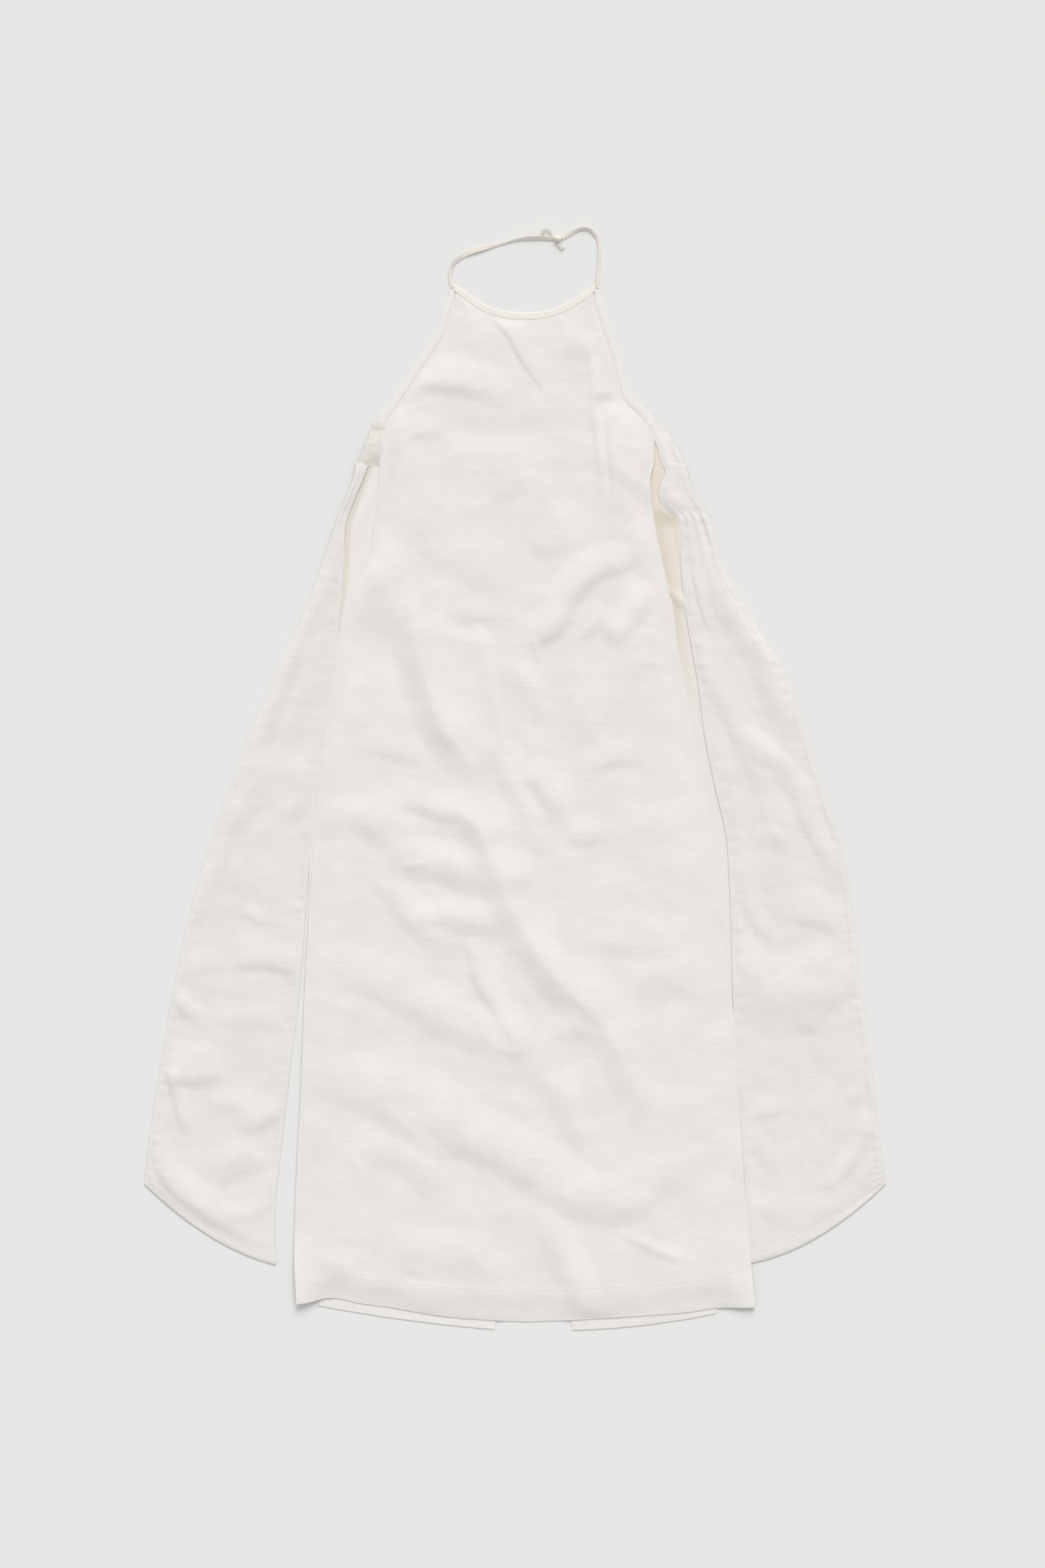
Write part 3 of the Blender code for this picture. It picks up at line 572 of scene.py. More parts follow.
TIE_RIGHT_FOLDS = rows(Fold, (
    ("pocket_bulge", 12, 14, (
        (201, 386), (195, 375, 0.8), (193, 364, 1.2), (196, 354, 1.2), (205, 346, 0.8), (213, 340),
    )),
    ("outer_roll", 26, 26, (
        (233, 303), (242, 275, 1.9), (255, 237, 2.9), (278, 202, 3.3), (299, 174, 3.5), (315, 140, 3.2),
        (329, 107, 2.7), (342, 73, 2.2), (354, 46),
    )),
    ("inner_roll", 30, 16, (
        (230, 182), (236, 153, 1.4), (249, 123, 1.8), (263, 100, 2.1), (275, 70, 2.2), (287, 46, 2.2),
        (300, 18, 2.1), (311, -13, 1.8), (319, -43, 1.5), (331, -66, 1.4), (342, -80),
    )),
    ("inner_crease", 14, 6, ((225, 270), (231, 241, 1.6), (237, 212, 1.8), (245, 191, 1), (253, 178))),
    ("bright_lens", 18, 22, (
        (282, 66), (297, 51, 1.8), (317, 33, 2.6), (336, 16, 2.6), (352, -3, 1.9), (364, -21, 0.8),
        (371, -39),
    )),
    ("edge_ridge", 22, 15, (
        (347, -1), (358, -24, 1.5), (369, -53, 2.2), (381, -76, 2.7), (393, -97, 2.2), (403, -117, 1.3),
        (408, -137),
    )),
    ("middle_spot", 16, 20, ((300, -68), (317, -73, 1.6), (336, -76, 1.3), (351, -71))),
    ("inner_long", 18, 16, (
        (278, -61), (285, -95, 1.4), (294, -137, 1.7), (305, -176, 1.8), (320, -199, 1.4), (339, -213),
    )),
    ("trough_edge", 40, 16, (
        (343, -168), (360, -173, 1.4), (378, -177, 1.8), (396, -182, 1.6), (411, -187),
    )),
    ("shoulder", 66, 58, (
        (272, -256), (294, -264, 3), (324, -271, 4), (359, -272, 4.4), (389, -267, 4.4), (411, -272, 2.4),
        (423, -284),
    ), 1.5),
    ("bright_mound", 26, 30, ((359, -223), (374, -224, 1.6), (393, -226, 1.8), (411, -229))),
    ("left_mound", 40, 20, ((270, -226), (285, -234, 1.6), (302, -243, 1.8), (317, -246))),
    ("low_dark", 18, 18, ((354, -305), (371, -310, 1.2), (389, -306))),
    ("low_left", 24, 16, ((289, -417), (307, -421, 1.1), (326, -417, 1), (342, -406))),
    ("left_low", 24, 16, ((289, -448), (305, -461, 1.3), (320, -480, 1.3), (331, -498))),
    ("edge_dark", 16, 14, ((413, -406), (428, -402, 1.1), (443, -404))),
    ("edge_lens", 16, 16, (
        (392, -520), (404, -508, 1.6), (419, -488, 2.4), (431, -465, 2.6), (440, -440, 2.2), (446, -416),
    )),
    ("low_right", 22, 18, ((371, -542), (389, -542, 1.1), (408, -528, 1), (423, -512))),
    ("low_inner", 26, 16, ((297, -532), (314, -542, 1.3), (331, -550, 1), (346, -562))),
))
BACK_LEFT_FOLDS = rows(Fold, (
    ("strip_swell", 8, 8, ((-180, 372), (-186, 345, 1.2), (-194, 318, 1.4), (-200, 285))),
))
BACK_RIGHT_FOLDS = rows(Fold, (
    ("strip_crease", 12, 4, ((191, 238), (198, 229, 2.2), (206, 223, 2.6), (216, 216, 1.2))),
    ("pocket_floor", 10, 9, ((177, 388), (178, 372, -0.9), (179, 352, -0.6), (180, 338))),
    ("pocket_rise", 9, 13, ((179, 359), (184, 345, 1.1), (193, 335, 1.3), (204, 330, 1.1), (213, 325))),
    ("strip_seam", 3, 4, ((204, 334), (205, 320, 1.6), (206, 300, 1.4), (209, 270))),
))
HEAD_LEFT_FOLDS = rows(Fold, (
    ("top_pit", 6, 15, ((-184, 441), (-179, 439, -0.6), (-174, 438, -0.8), (-168, 436, -0.4))),
    ("mid_pucker", 6, 5, ((-188, 420), (-182, 421, 0.4), (-175, 422, 0.5), (-169, 424))),
))
HEAD_RIGHT_FOLDS = rows(Fold, (
    ("outer_crease", 5, 7, (
        (196, 420), (198, 409, -0.9), (201, 399, -1.1), (205, 388, -0.9), (206, 384, -0.9),
    )),
))
print("creases:", len(FRONT_CREASES), "tie folds:", len(TIE_LEFT_FOLDS), "and", len(TIE_RIGHT_FOLDS))

# %% [markdown]
# ## The height of the folds
# Random hills come first, because the folds, the washed surface and the puckers beside seams all need
# them. The seed fixes the draw, so the same cloth comes out each time. The height of a fold is then found
# for the points close to its route only, which keeps a hundred folds on a fine grid quick.

# %% Fold height
FOLD_SWELL = 0.2              # share of a fold's height that the slow wave along it adds or takes
FOLD_WAVE = 48.0              # mm, length of that wave


def soft_hills(x, y, size, seed):
    """Random hills and hollows from about -1 to 1, `size` apart. A square net has a random slope at each
    corner. A point takes the heights that the four slopes of its cell give it, blended across and up the
    cell by 6t^5 - 15t^4 + 10t^3."""
    net = 97    # cells before the pattern comes again
    headings = np.random.default_rng(seed).uniform(0, 2 * np.pi, (net, net))
    x, y = np.asarray(x, float) / size[0], np.asarray(y, float) / size[1]
    column, row = np.floor(x).astype(int), np.floor(y).astype(int)
    u, v = x - column, y - row

    def from_corner(right, up):
        heading = headings[(column + right) % net, (row + up) % net]
        return np.cos(heading) * (u - right) + np.sin(heading) * (v - up)

    ease_u, ease_v = (t**3 * (t * (6 * t - 15) + 10) for t in (u, v))
    low = from_corner(0, 0) * (1 - ease_u) + from_corner(1, 0) * ease_u
    high = from_corner(0, 1) * (1 - ease_u) + from_corner(1, 1) * ease_u
    return 1.5 * (low * (1 - ease_v) + high * ease_v)


def fold_height(x, y, folds):
    """Height of the folds over each point, as crest * swell * (1 - s ** bend) ** 2. The crest's height is
    read along the route, s is the distance from the route over the width of that side, and the swell is a
    slow random wave along it."""
    height = np.zeros(np.shape(x))
    for number, fold in enumerate(folds):
        table = np.array([(*point, 0)[:3] for point in fold.route], float)
        run = distances(table[:, :2])[-1]
        line = evenly(table[:, :2], table, int(run / 2) + 2)
        route, step = line[:, :2], run / (len(line) - 1)
        crest = np.clip(line[:, 2], table[:, 2].min(), table[:, 2].max())
        heading = unit(np.gradient(route, axis=0))
        reach = max(fold.light, fold.dark)
        low, high = route.min(axis=0) - reach, route.max(axis=0) + reach
        close = (x > low[0]) & (x < high[0]) & (y > low[1]) & (y < high[1])
        if not close.any():
            continue
        points = np.column_stack([x[close], y[close]])
        nearest = np.argmin(((points[:, None] - route) ** 2).sum(axis=2), axis=1)
        off, facing = points - route[nearest], heading[nearest]
        ahead = (off * facing).sum(axis=1)
        side = facing[:, 0] * off[:, 1] - facing[:, 1] * off[:, 0]
        beyond = np.maximum(np.abs(ahead) - step, 0)
        s = np.minimum(np.hypot(side, beyond) / np.where(side > 0, fold.light, fold.dark), 1)
        way = np.clip(nearest * step + ahead, 0, run)
        wave = soft_hills(way, np.full(way.shape, 7.3), (FOLD_WAVE, FOLD_WAVE), 100 + number)
        lift = np.interp(way, np.arange(len(line)) * step, crest)
        height[close] += lift * (1 + FOLD_SWELL * wave) * (1 - s**fold.bend) ** 2
    return height


crest = fold_height(np.full(60, -92.0), np.linspace(37, 97, 60), FRONT_FOLDS).max()
print("height of the long fold:", round(crest, 1), "mm")

# %% [markdown]
# ## Dents from washing
# Linen fibre is stiff, so a washed and hand-smoothed cloth keeps shallow dents of many sizes, from a
# hand's width to a fingertip's. They are a few tenths of a millimetre deep. Random hills of three sizes
# give the dents, and a raised line where another set of hills crosses zero gives the fine creases.

# %% Dents


def washed_dents(x, y, seed):
    """Hills 64, 33 and 17 mm apart, and creases of height (1 - |n|) ** 7 where hills n cross zero."""
    hills = 0.62 * soft_hills(x, y, (64, 52), seed) + 0.34 * soft_hills(x, y, (33, 28), seed + 1)
    small = 0.15 * soft_hills(x, y, (17, 14), seed + 2)
    crease = 0.16 * (1 - np.minimum(np.abs(soft_hills(x, y, (46, 34), seed + 3)), 1)) ** 7
    return hills + small + crease


sample = washed_dents(*np.meshgrid(np.linspace(-200, 200, 80), np.linspace(-200, 200, 80)), 20)
print("dents from", round(sample.min(), 1), "to", round(sample.max(), 1), "mm")

# %% [markdown]
# ## A shell of cloth
# Each panel becomes a closed thin skin: an upper side that carries all the detail, and an under side one
# thickness below it, measured square to the cloth, that never sinks through what it lies on. The outermost
# ring of points sits close beside the next and a little lower, so a turned edge looks round. A map of flat
# cloth coordinates goes with it, so the weave follows the cloth over its folds.

# %% Shell
EDGE_ROUND = 0.3      # radius of a turned edge
CLOTH = 0.55          # thickness of one layer with its loft, away from the edges
EDGE_REACH = 10.0     # over this distance the turned edge thins to one layer


def panel_grid(lines, cells):
    """Places across and along for a panel's grid, with two extra rings close inside the edge. The second
    ring keeps the rounding of the first from shading the whole next row."""
    columns, rows = cells
    _, _, _, length = lay_out(lines, 0.5, np.zeros(1))
    inner = np.linspace(0, 1, rows + 1)[1:-1]
    rings = np.array([0, EDGE_ROUND, min(4 * EDGE_ROUND, (EDGE_ROUND + inner[0] * length) / 2)]) / length
    along = np.concatenate([rings, inner, 1 - rings[::-1]])
    width = lay_out(lines, 0.5, along)[2][:, None]
    inner = np.broadcast_to(np.linspace(0, 1, columns + 1)[1:-1], (len(along), columns - 1))
    first = EDGE_ROUND / width
    second = np.minimum(4 * first, (first + inner[:, :1]) / 2)
    across = np.hstack([0 * first, first, second, inner, 1 - second, 1 - first, 1 + 0 * first])
    return across, np.broadcast_to(along[:, None], across.shape)


def inset(across, along, width, length):
    """How far a place is from the nearer long edge, and from the nearer end, in mm."""
    return np.minimum(across, 1 - across) * width, np.minimum(along, 1 - along) * length


def edge_rise(across, along, width, length, reach):
    """0 on the panel's edge and 1 at `reach` or more inside it."""
    side, end = inset(across, along, width, length)
    return smooth_step(side / reach) * smooth_step(end / reach)


def new_piece(name, points, faces, cloth_map, material, hollow=None):
    """A smooth-shaded mesh object of points in mm, with the given cloth coordinates of each point, and
    how deep in a gap each of them lies, from 0 to 1, if that is given. That depth drives painted shade."""
    mesh = bpy.data.meshes.new(name)
    mesh.from_pydata((points * MM).tolist(), [], faces)
    corners = np.empty(len(mesh.loops), int)
    mesh.loops.foreach_get("vertex_index", corners)
    layer = mesh.uv_layers.new(name="cloth")
    layer.uv.foreach_set("vector", (cloth_map[corners] * MM).astype(np.float32).ravel())
    if hollow is not None:
        mesh.attributes.new("hollow", "FLOAT", "POINT").data.foreach_set("value", hollow.astype(np.float32))
    mesh.shade_smooth()
    mesh.materials.append(material)
    piece = bpy.data.objects.new(name, mesh)
    scene.collection.objects.link(piece)
    return piece


def cloth_shell(name, surface, lines, cells, material, hollow=None):
    """A closed skin on `surface`, a function of across and along that returns x, y, top and rest heights.
    `hollow` is a function of x and y that tells how deep in a gap a place lies, for painted shade there."""
    across, along = panel_grid(lines, cells)
    x, y, top, rest = surface(across, along)
    _, _, width, length = lay_out(lines, across, along)
    turned = 1 - edge_rise(across, along, width, length, EDGE_REACH)
    thick = CLOTH + (WALL - CLOTH) * turned
    upper = np.stack([x, y, top], axis=-1)
    square = np.cross(np.gradient(upper, axis=1), np.gradient(upper, axis=0))
    upright = np.abs(square[..., 2]) / np.maximum(np.linalg.norm(square, axis=-1), 1e-9)
    bottom = np.maximum(rest, top - thick / np.maximum(upright, 0.5))
    rim = np.zeros(x.shape, bool)
    rim[[0, -1]], rim[:, [0, -1]] = True, True
    upper[..., 2] = np.where(rim, top - EDGE_ROUND, top)
    bottom = np.where(rim, np.minimum(bottom + EDGE_ROUND * 0.5, top - EDGE_ROUND - 0.1), bottom)
    lower = np.stack([x, y, bottom], axis=-1)
    rows, columns = x.shape
    index = np.arange(rows * columns).reshape(rows, columns)
    a, b, c, d = index[:-1, :-1], index[1:, :-1], index[1:, 1:], index[:-1, 1:]
    skin = np.stack([a, b, c, d], axis=-1).reshape(-1, 4)
    ring = np.concatenate([index[:, 0], index[-1, 1:], index[-2::-1, -1], index[0, -2:0:-1]])
    ahead = np.roll(ring, -1)
    under = rows * columns
    sides = np.stack([ring + under, ahead + under, ahead, ring], axis=-1)
    faces = np.concatenate([skin, skin[:, ::-1] + under, sides]).tolist()
    flat = np.stack([(across - 0.5) * width, -along * length], axis=-1).reshape(-1, 2)
    points = np.concatenate([upper.reshape(-1, 3), lower.reshape(-1, 3)])
    depth = hollow(points[:, 0], points[:, 1]) if hollow else None
    piece = new_piece(name, points, faces, np.concatenate([flat, flat]), material, depth)
    print(name, "cells", skin.shape[0], "height", round(float(top.max()), 1), "mm")
    return piece


print("one layer:", CLOTH, "mm, a turned edge:", WALL, "mm")

# %% [markdown]
# ## The linen
# Plain-weave linen, washed without bleach to a warm white and left unpressed. The yarn is flax, spun wet,
# about 0.55 mm apart in both directions. It is matt, because the washed surface is a nap of fine fibre
# ends, and that nap catches a little light at grazing angles, which the sheen gives. Flax yarn is uneven:
# slubs run along single threads for a few centimetres, more of them in the weft. From this height a thread
# is finer than a pixel, so the weave is drawn at twice its real spacing and very shallow.
#
# The pieces come from one cloth, and their tones differ by a few steps only. The back is browner where a
# gap lets little light out, which a value on its points tells. The two gathered heads are lit and shaded
# copies of one linen: painted shade on the left, where the pleats are deep, and painted light on the right.

# %% Linen
THREAD_SPACING = 1.1          # mm, twice the real 0.55
SLUB_LENGTH, SLUB_WIDTH = 34.0, 1.3
BLOTCH = 45.0                 # mm, size of the slight changes of tone
UNDERARM_SHADE_REACH = 330.0          # mm, how far down from the underarm the back's painted shade reaches
RELIEF = 0.05                 # mm, height of a bump value of 1
WEFT_SLUB, WARP_SLUB, CRINKLE = 2.2, 1.2, 3.0    # bump values, where the weave's is 1


def washed_linen(name, light, deep, underarm_shade=None, hollow=None):
    """Washed linen between two sRGB tones. Towards a warmer third tone near the head of the panel it has
    painted shade, and towards a browner fourth it has painted shade where the mesh says that the cloth lies
    in a gap.
    The bump height is the weave, which is sin(x) * sin(y) over the thread spacing, plus slubs, which are
    noise drawn out along the thread, plus a fine crinkle."""
    material, tree = new_material(name)
    cloth = add_node(tree, "ShaderNodeUVMap", {}, uv_map="cloth").outputs["UV"]
    split = add_node(tree, "ShaderNodeSeparateXYZ", {"Vector": cloth})

    def calculate(operation, *values):
        return add_node(tree, "ShaderNodeMath", dict(enumerate(values)), operation=operation).outputs[0]

    def blend(share, first, second):
        tones = {0: share, 6: first, 7: second}
        return add_node(tree, "ShaderNodeMix", tones, data_type="RGBA").outputs[2]

    def streaks(length, width, detail):
        scale = (1 / (length * MM), 1 / (width * MM), 1)
        place = add_node(tree, "ShaderNodeMapping", {"Vector": cloth, "Scale": scale})
        inputs = {"Vector": place.outputs["Vector"], "Scale": 1.0, "Detail": detail}
        return add_node(tree, "ShaderNodeTexNoise", inputs, noise_dimensions="2D").outputs["Fac"]

    turns = 2 * np.pi / (THREAD_SPACING * MM)
    waves = [calculate("SINE", calculate("MULTIPLY", split.outputs[axis], turns)) for axis in ("X", "Y")]
    depth = calculate("MULTIPLY", *waves)
    weft, warp = streaks(SLUB_LENGTH, SLUB_WIDTH, 1.0), streaks(SLUB_WIDTH, SLUB_LENGTH * 1.6, 1.0)
    crinkle, blotch = streaks(6.0, 5.0, 3.0), streaks(BLOTCH, BLOTCH, 2.0)
    for layer, height in ((weft, WEFT_SLUB), (warp, WARP_SLUB), (crinkle, CRINKLE)):
        depth = calculate("MULTIPLY_ADD", layer, height, depth)
    relief = add_node(tree, "ShaderNodeBump", {"Height": depth, "Strength": 1.0, "Distance": RELIEF * MM})
    tone = calculate("MULTIPLY_ADD", weft, 0.5, blotch)
    share = add_node(tree, "ShaderNodeMapRange", {"Value": tone, "From Min": 0.5, "From Max": 1.0})
    colour = blend(share.outputs["Result"], linear(deep), linear(light))
    # Painted shade: a warmer tone near the head of the panel, fading out down it, for the shade under the
    # underarm.
    if underarm_shade:
        reach = {"Value": split.outputs["Y"], "From Min": -UNDERARM_SHADE_REACH * MM, "From Max": 0.0}
        near_head = add_node(tree, "ShaderNodeMapRange", reach, interpolation_type="SMOOTHSTEP")
        colour = blend(near_head.outputs["Result"], colour, linear(underarm_shade))
    # Painted shade: browner where the mesh marks a place deep in a gap.
    if hollow:
        depth_in_gap = add_node(tree, "ShaderNodeAttribute", {}, attribute_name="hollow")
        colour = blend(depth_in_gap.outputs["Fac"], colour, linear(hollow))
    finish = {
        "Base Color": colour,
        "Roughness": 0.92,
        "Specular IOR Level": 0.25,
        "Sheen Weight": 0.1,
        "Sheen Roughness": 0.6,
        "Normal": relief.outputs["Normal"],
    }
    shader = add_node(tree, "ShaderNodeBsdfPrincipled", finish)
    add_node(tree, "ShaderNodeOutputMaterial", {"Surface": shader.outputs["BSDF"]})
    return material


LINEN_FRONT = washed_linen("washed_linen_front", "#ECE9E6", "#E8E4E0")
LINEN_BACK_LEFT = washed_linen("washed_linen_back_left", "#EEEAE7", "#EAE6E2", hollow="#E3DBD2")
# The right strip gets painted shade near the underarm and in its gaps.
LINEN_BACK_RIGHT = washed_linen(
    "washed_linen_back_right", "#ECE8E4", "#E9E4DF", underarm_shade="#E8DFD1", hollow="#DCD2C2"
)
LINEN_TIE = washed_linen("washed_linen_tie", "#EAE6E3", "#E6E3DF")
# Lit and shaded copies of one linen: painted shade on the left head, painted light on the right.
LINEN_HEADS = {
    "left": washed_linen("washed_linen_head_left", "#E6E1DB", "#E1DBD4"),
    "right": washed_linen("washed_linen_head_right", "#F0ECE9", "#EDE9E5"),
}
LINEN_ARMHOLE = washed_linen("washed_linen_armhole_binding", "#EEEAE6", "#EBE7E2")
LINEN_BINDING = washed_linen("washed_linen_binding", "#F2EDE6", "#EFE9E1")
# The strap linen is painted darker, painted shade for the shadow along the narrow twisted strip and the
# knot.
LINEN_STRAP = washed_linen("washed_linen_strap", "#EAE5DD", "#E1DAD0")
linens = [material.name for material in bpy.data.materials if material.name.startswith("washed_linen")]
print("linens:", len(linens), "thread spacing drawn:", THREAD_SPACING, "mm")

# %% [markdown]
# ## The front
# The front is one piece from the neckline to the hem. Air under it keeps it a few millimetres off the
# back, and it comes down to the edges. It lies on the back up to the underarms, and on the floor above
# them, and the cloth steps down softly between the two. Its lower corners curl up a little from the floor.

# %% Front
PUFF, PUFF_REACH = 3.0, 34.0  # air under the front, and how far inside its edge it is reached
PUFF_TOP, PUFF_FADE = 575.0, 130.0      # it grows from this y down, over this length
LEAST_PUFF = 0.4              # the share of it above that
FOLD_FADE = 16.0              # how far inside the edge the folds have their full height
BACK_TOP, REST_BLEND, REST_OVERLAP = 392.0, 40.0, 6.0
FRONT_CELLS = (142, 314)
HEM_DEPTH = 38.0              # the front's turned hem
VENT = (-20.0, 68.0)          # x where the back's two hems part
VENT_TOP, VENT_RISE, VENT_FADE = -600.0, 40.0, 12.0

Bump = namedtuple("Bump", "x y wide long lift")
Wave = namedtuple("Wave", "place spread lift")
HEM_WAVES = (Wave(0.075, 0.05, 9.0), Wave(0.17, 0.11, 8.0), Wave(0.92, 0.05, 3.0))
HEM_WAVE_REACH = 70.0
EDGE_LIFTS = (                 # both corners of the hem, both long edges, and the underarms
    Bump(-280, -668, 30, 58, 7.6),
    Bump(298, -668, 26, 50, 3.2),
    Bump(-272, -430, 20, 200, 0.6),
    Bump(288, -450, 12, 180, 2.4),
    Bump(171, 366, 16, 24, 3.0),
    Bump(178, 425, 10, 34, 1.2),
    Bump(-173, 425, 12, 34, 1.6),
)
HOLLOWS = (                    # a rise at the left side and a hollow below it
    Bump(-174, 257, 36, 34, 4.4),
    Bump(-178, 168, 34, 33, -3.8),
)
DIMPLES = (
    Bump(145, 321, 10, 8, -0.9),
    Bump(153, 300, 9, 7, 0.8),
    Bump(41.5, 233, 9, 7, 0.6),
)


def bump_height(x, y, bumps):
    """The sum of lift * exp(-(dx / wide) ** 2 - (dy / long) ** 2) over the bumps."""
    return sum(b.lift * np.exp(-(((x - b.x) / b.wide) ** 2) - ((y - b.y) / b.long) ** 2) for b in bumps)


def seam_puckers(run, off, seed, depth=0.35, pitch=9.0, reach=9.0):
    """Small waves that a row of stitches pulls into the cloth: a wave along the seam that fades as
    exp(-(off / reach) ** 2), where `off` is the distance from the seam."""
    wave = soft_hills(run, off, (pitch, 4 * pitch), seed)
    return depth * wave * np.exp(-((off / reach) ** 2))


def front_surface(across, along):
    """The front: x, y, the height of its upper side, and of what it rests on."""
    x, y, width, length = lay_out(FRONT, across, along)
    near_hem = smooth_step(1 - (1 - along) * length / HEM_WAVE_REACH)
    for wave in HEM_WAVES:
        y = y + wave.lift * near_hem * np.exp(-(((across - wave.place) / wave.spread) ** 2))
    rest = LAYER * smooth_step((BACK_TOP + REST_OVERLAP + REST_BLEND - y) / REST_BLEND)
    vent = smooth_step((x - VENT[0]) / VENT_FADE) * smooth_step((VENT[1] - x) / VENT_FADE)
    rest *= 1 - vent * smooth_step((VENT_TOP - y) / VENT_RISE)
    rest += bump_height(x, y, EDGE_LIFTS)
    wander_x = x + 3 * soft_hills(x, y, (70, 70), 11)
    wander_y = y + 3 * soft_hills(x, y, (70, 70), 12)
    relief = fold_height(wander_x, wander_y, FRONT_FOLDS) + bump_height(x, y, HOLLOWS)
    relief *= edge_rise(across, along, width, length, FOLD_FADE)
    puff = PUFF * (LEAST_PUFF + (1 - LEAST_PUFF) * smooth_step((PUFF_TOP - y) / PUFF_FADE))
    relief += puff * edge_rise(across, along, width, length, PUFF_REACH)
    near = edge_rise(across, along, width, length, 3.0)
    relief += near * (fold_height(wander_x, wander_y, FRONT_CREASES) + bump_height(x, y, DIMPLES))
    relief += (0.35 + washed_dents(x, y, 20)) * edge_rise(across, along, width, length, 8.0)
    side, _ = inset(across, along, width, length)
    run, sideways = along * length, across * width
    over_hem = (1 - along) * length - HEM_DEPTH
    relief += near * seam_puckers(run, side, 31, depth=0.3)
    relief += near * seam_puckers(sideways, run, 32, depth=0.45, pitch=7.0)
    relief += 0.2 * smooth_step(1 - over_hem / 1.5) * near
    relief += near * seam_puckers(sideways, over_hem, 33, depth=0.25)
    return x, y, rest + WALL + relief, rest


front_cloth = cloth_shell("front_cloth", front_surface, FRONT, FRONT_CELLS, LINEN_FRONT)

# %% [markdown]
# ## The back
# The two halves of the back meet in a centre seam and part in a vent over the hem. They lie flat on the
# floor, and almost all of them is under the front. What shows is a narrow strip at each side and the two
# hems. The strip on the right is painted a warmer tone near the underarm, which is painted shade for the
# deep gap there. At the bottom of a narrow gap both strips look browner still, because light only gets out
# of it after many bounces between two walls of warm white cloth. That browner tone is painted shade too.

# %% Back
BACK_CELLS = (110, 170)
BACK_HEM_CURL, BACK_HEM_REACH = 0.15, 13.0
POCKET_SHADE = Bump(192, 327, 16, 9, 1.0)     # painted shade under the right tie's gathered head


def right_edge(lines, y):
    """x of a panel's right edge at each y."""
    edge = np.array([(line.right_y, line.right_x) for line in lines[::-1]])
    return np.interp(y, edge[:, 0], edge[:, 1])


# The two masks below place painted shade at the bottom of the gaps beside the back strips.
def left_gap(x, y):
    """How deep in the gap beside the left tie a place lies: 1 from the tie's edge to a width that shrinks
    from 6.5 mm at the underarm to nothing further down, and fading to 0 over 3 mm."""
    off = x - right_edge(TIE_LEFT, y)
    wide = 1.0 + 5.5 * smooth_step((y - 170) / 80)
    return smooth_step((wide + 1.5 - off) / 3) * smooth_step((y - 135) / 40)


def right_gap(x, y):
    """How deep in the gap beside the front's right edge a place lies: 0.8 at the edge, fading over 18 mm
    and down the dress, and 1 under the tie's gathered head."""
    off = x - right_edge(FRONT, y)
    beside = 0.8 * smooth_step((18 - off) / 18) * smooth_step((350 - y) / 30) * smooth_step((y - 40) / 210)
    return np.clip(beside + bump_height(x, y, [POCKET_SHADE]), 0, 1)


BACK_SPECS = (
    ("back_cloth_left", BACK_LEFT, BACK_LEFT_FOLDS, 41, LINEN_BACK_LEFT, left_gap),
    ("back_cloth_right", BACK_RIGHT, BACK_RIGHT_FOLDS, 45, LINEN_BACK_RIGHT, right_gap),
)


def back_surface(lines, folds, seed):
    """The surface function of one half of the back, which lies flat on the floor."""

    def surface(across, along):
        x, y, width, length = lay_out(lines, across, along)
        inside = edge_rise(across, along, width, length, 6.0)
        relief = 0.25 * washed_dents(x, y, seed) * inside + fold_height(x, y, folds)
        side, _ = inset(across, along, width, length)
        relief += inside * seam_puckers(along * length, side, seed + 5, depth=0.2)
        rest = BACK_HEM_CURL * (1 - smooth_step((1 - along) * length / BACK_HEM_REACH))
        return x, y, rest + WALL + np.maximum(relief, -0.3), rest

    return surface


backs = [
    cloth_shell(name, back_surface(lines, folds, seed), lines, BACK_CELLS, linen, gap)
    for name, lines, folds, seed, linen, gap in BACK_SPECS
]

# %% [markdown]
# ## The side ties
# Each tie is a single layer with a narrow hem, turned twice, along both long edges and round its end. The
# hem is thicker than the cloth beside it, so it stands up as a band, and the stitches pull small puckers
# into both. Over the end hem the cloth swells and then dips to the stitches. At the head the whole width is
# drawn together, so ridges run down from there and fade out.

# %% Side ties
HEM_WIDTH, HEM_RISE = 9.0, 0.5
TIE_CELLS = (66, 290)
TIE_BLEND = 18.0
GATHER_LENGTH = 120.0         # how far down the ridges of the gathered head reach
HEAD_SINK = 0.9               # the tie's first millimetres sink under the gathered head

# The head lies head_lift high, which fades out over head_reach, with the share `inner` at its inner edge.
# The gathers are so many ridges of ridge_height, from `start` on. Over the end hem the cloth swells by
# end_swell, from end_drop on. The end stands up by curl, and its turned rim by lip.
Tie = namedtuple(
    "Tie",
    "lines folds head_lift head_reach inner ridges ridge_height start end_swell end_drop curl lip seed",
)
TIES = {
    "left": Tie(
        TIE_LEFT, TIE_LEFT_FOLDS, head_lift=2.8, head_reach=230, inner=0.45, ridges=1.5, ridge_height=1.0,
        start=0, end_swell=0.9, end_drop=6.5, curl=0.0, lip=0.8, seed=51,
    ),
    "right": Tie(
        TIE_RIGHT, TIE_RIGHT_FOLDS, head_lift=1.4, head_reach=130, inner=0.2, ridges=3.6, ridge_height=1.1,
        start=62, end_swell=0.4, end_drop=11.0, curl=0.1, lip=0.8, seed=61,
    ),
}


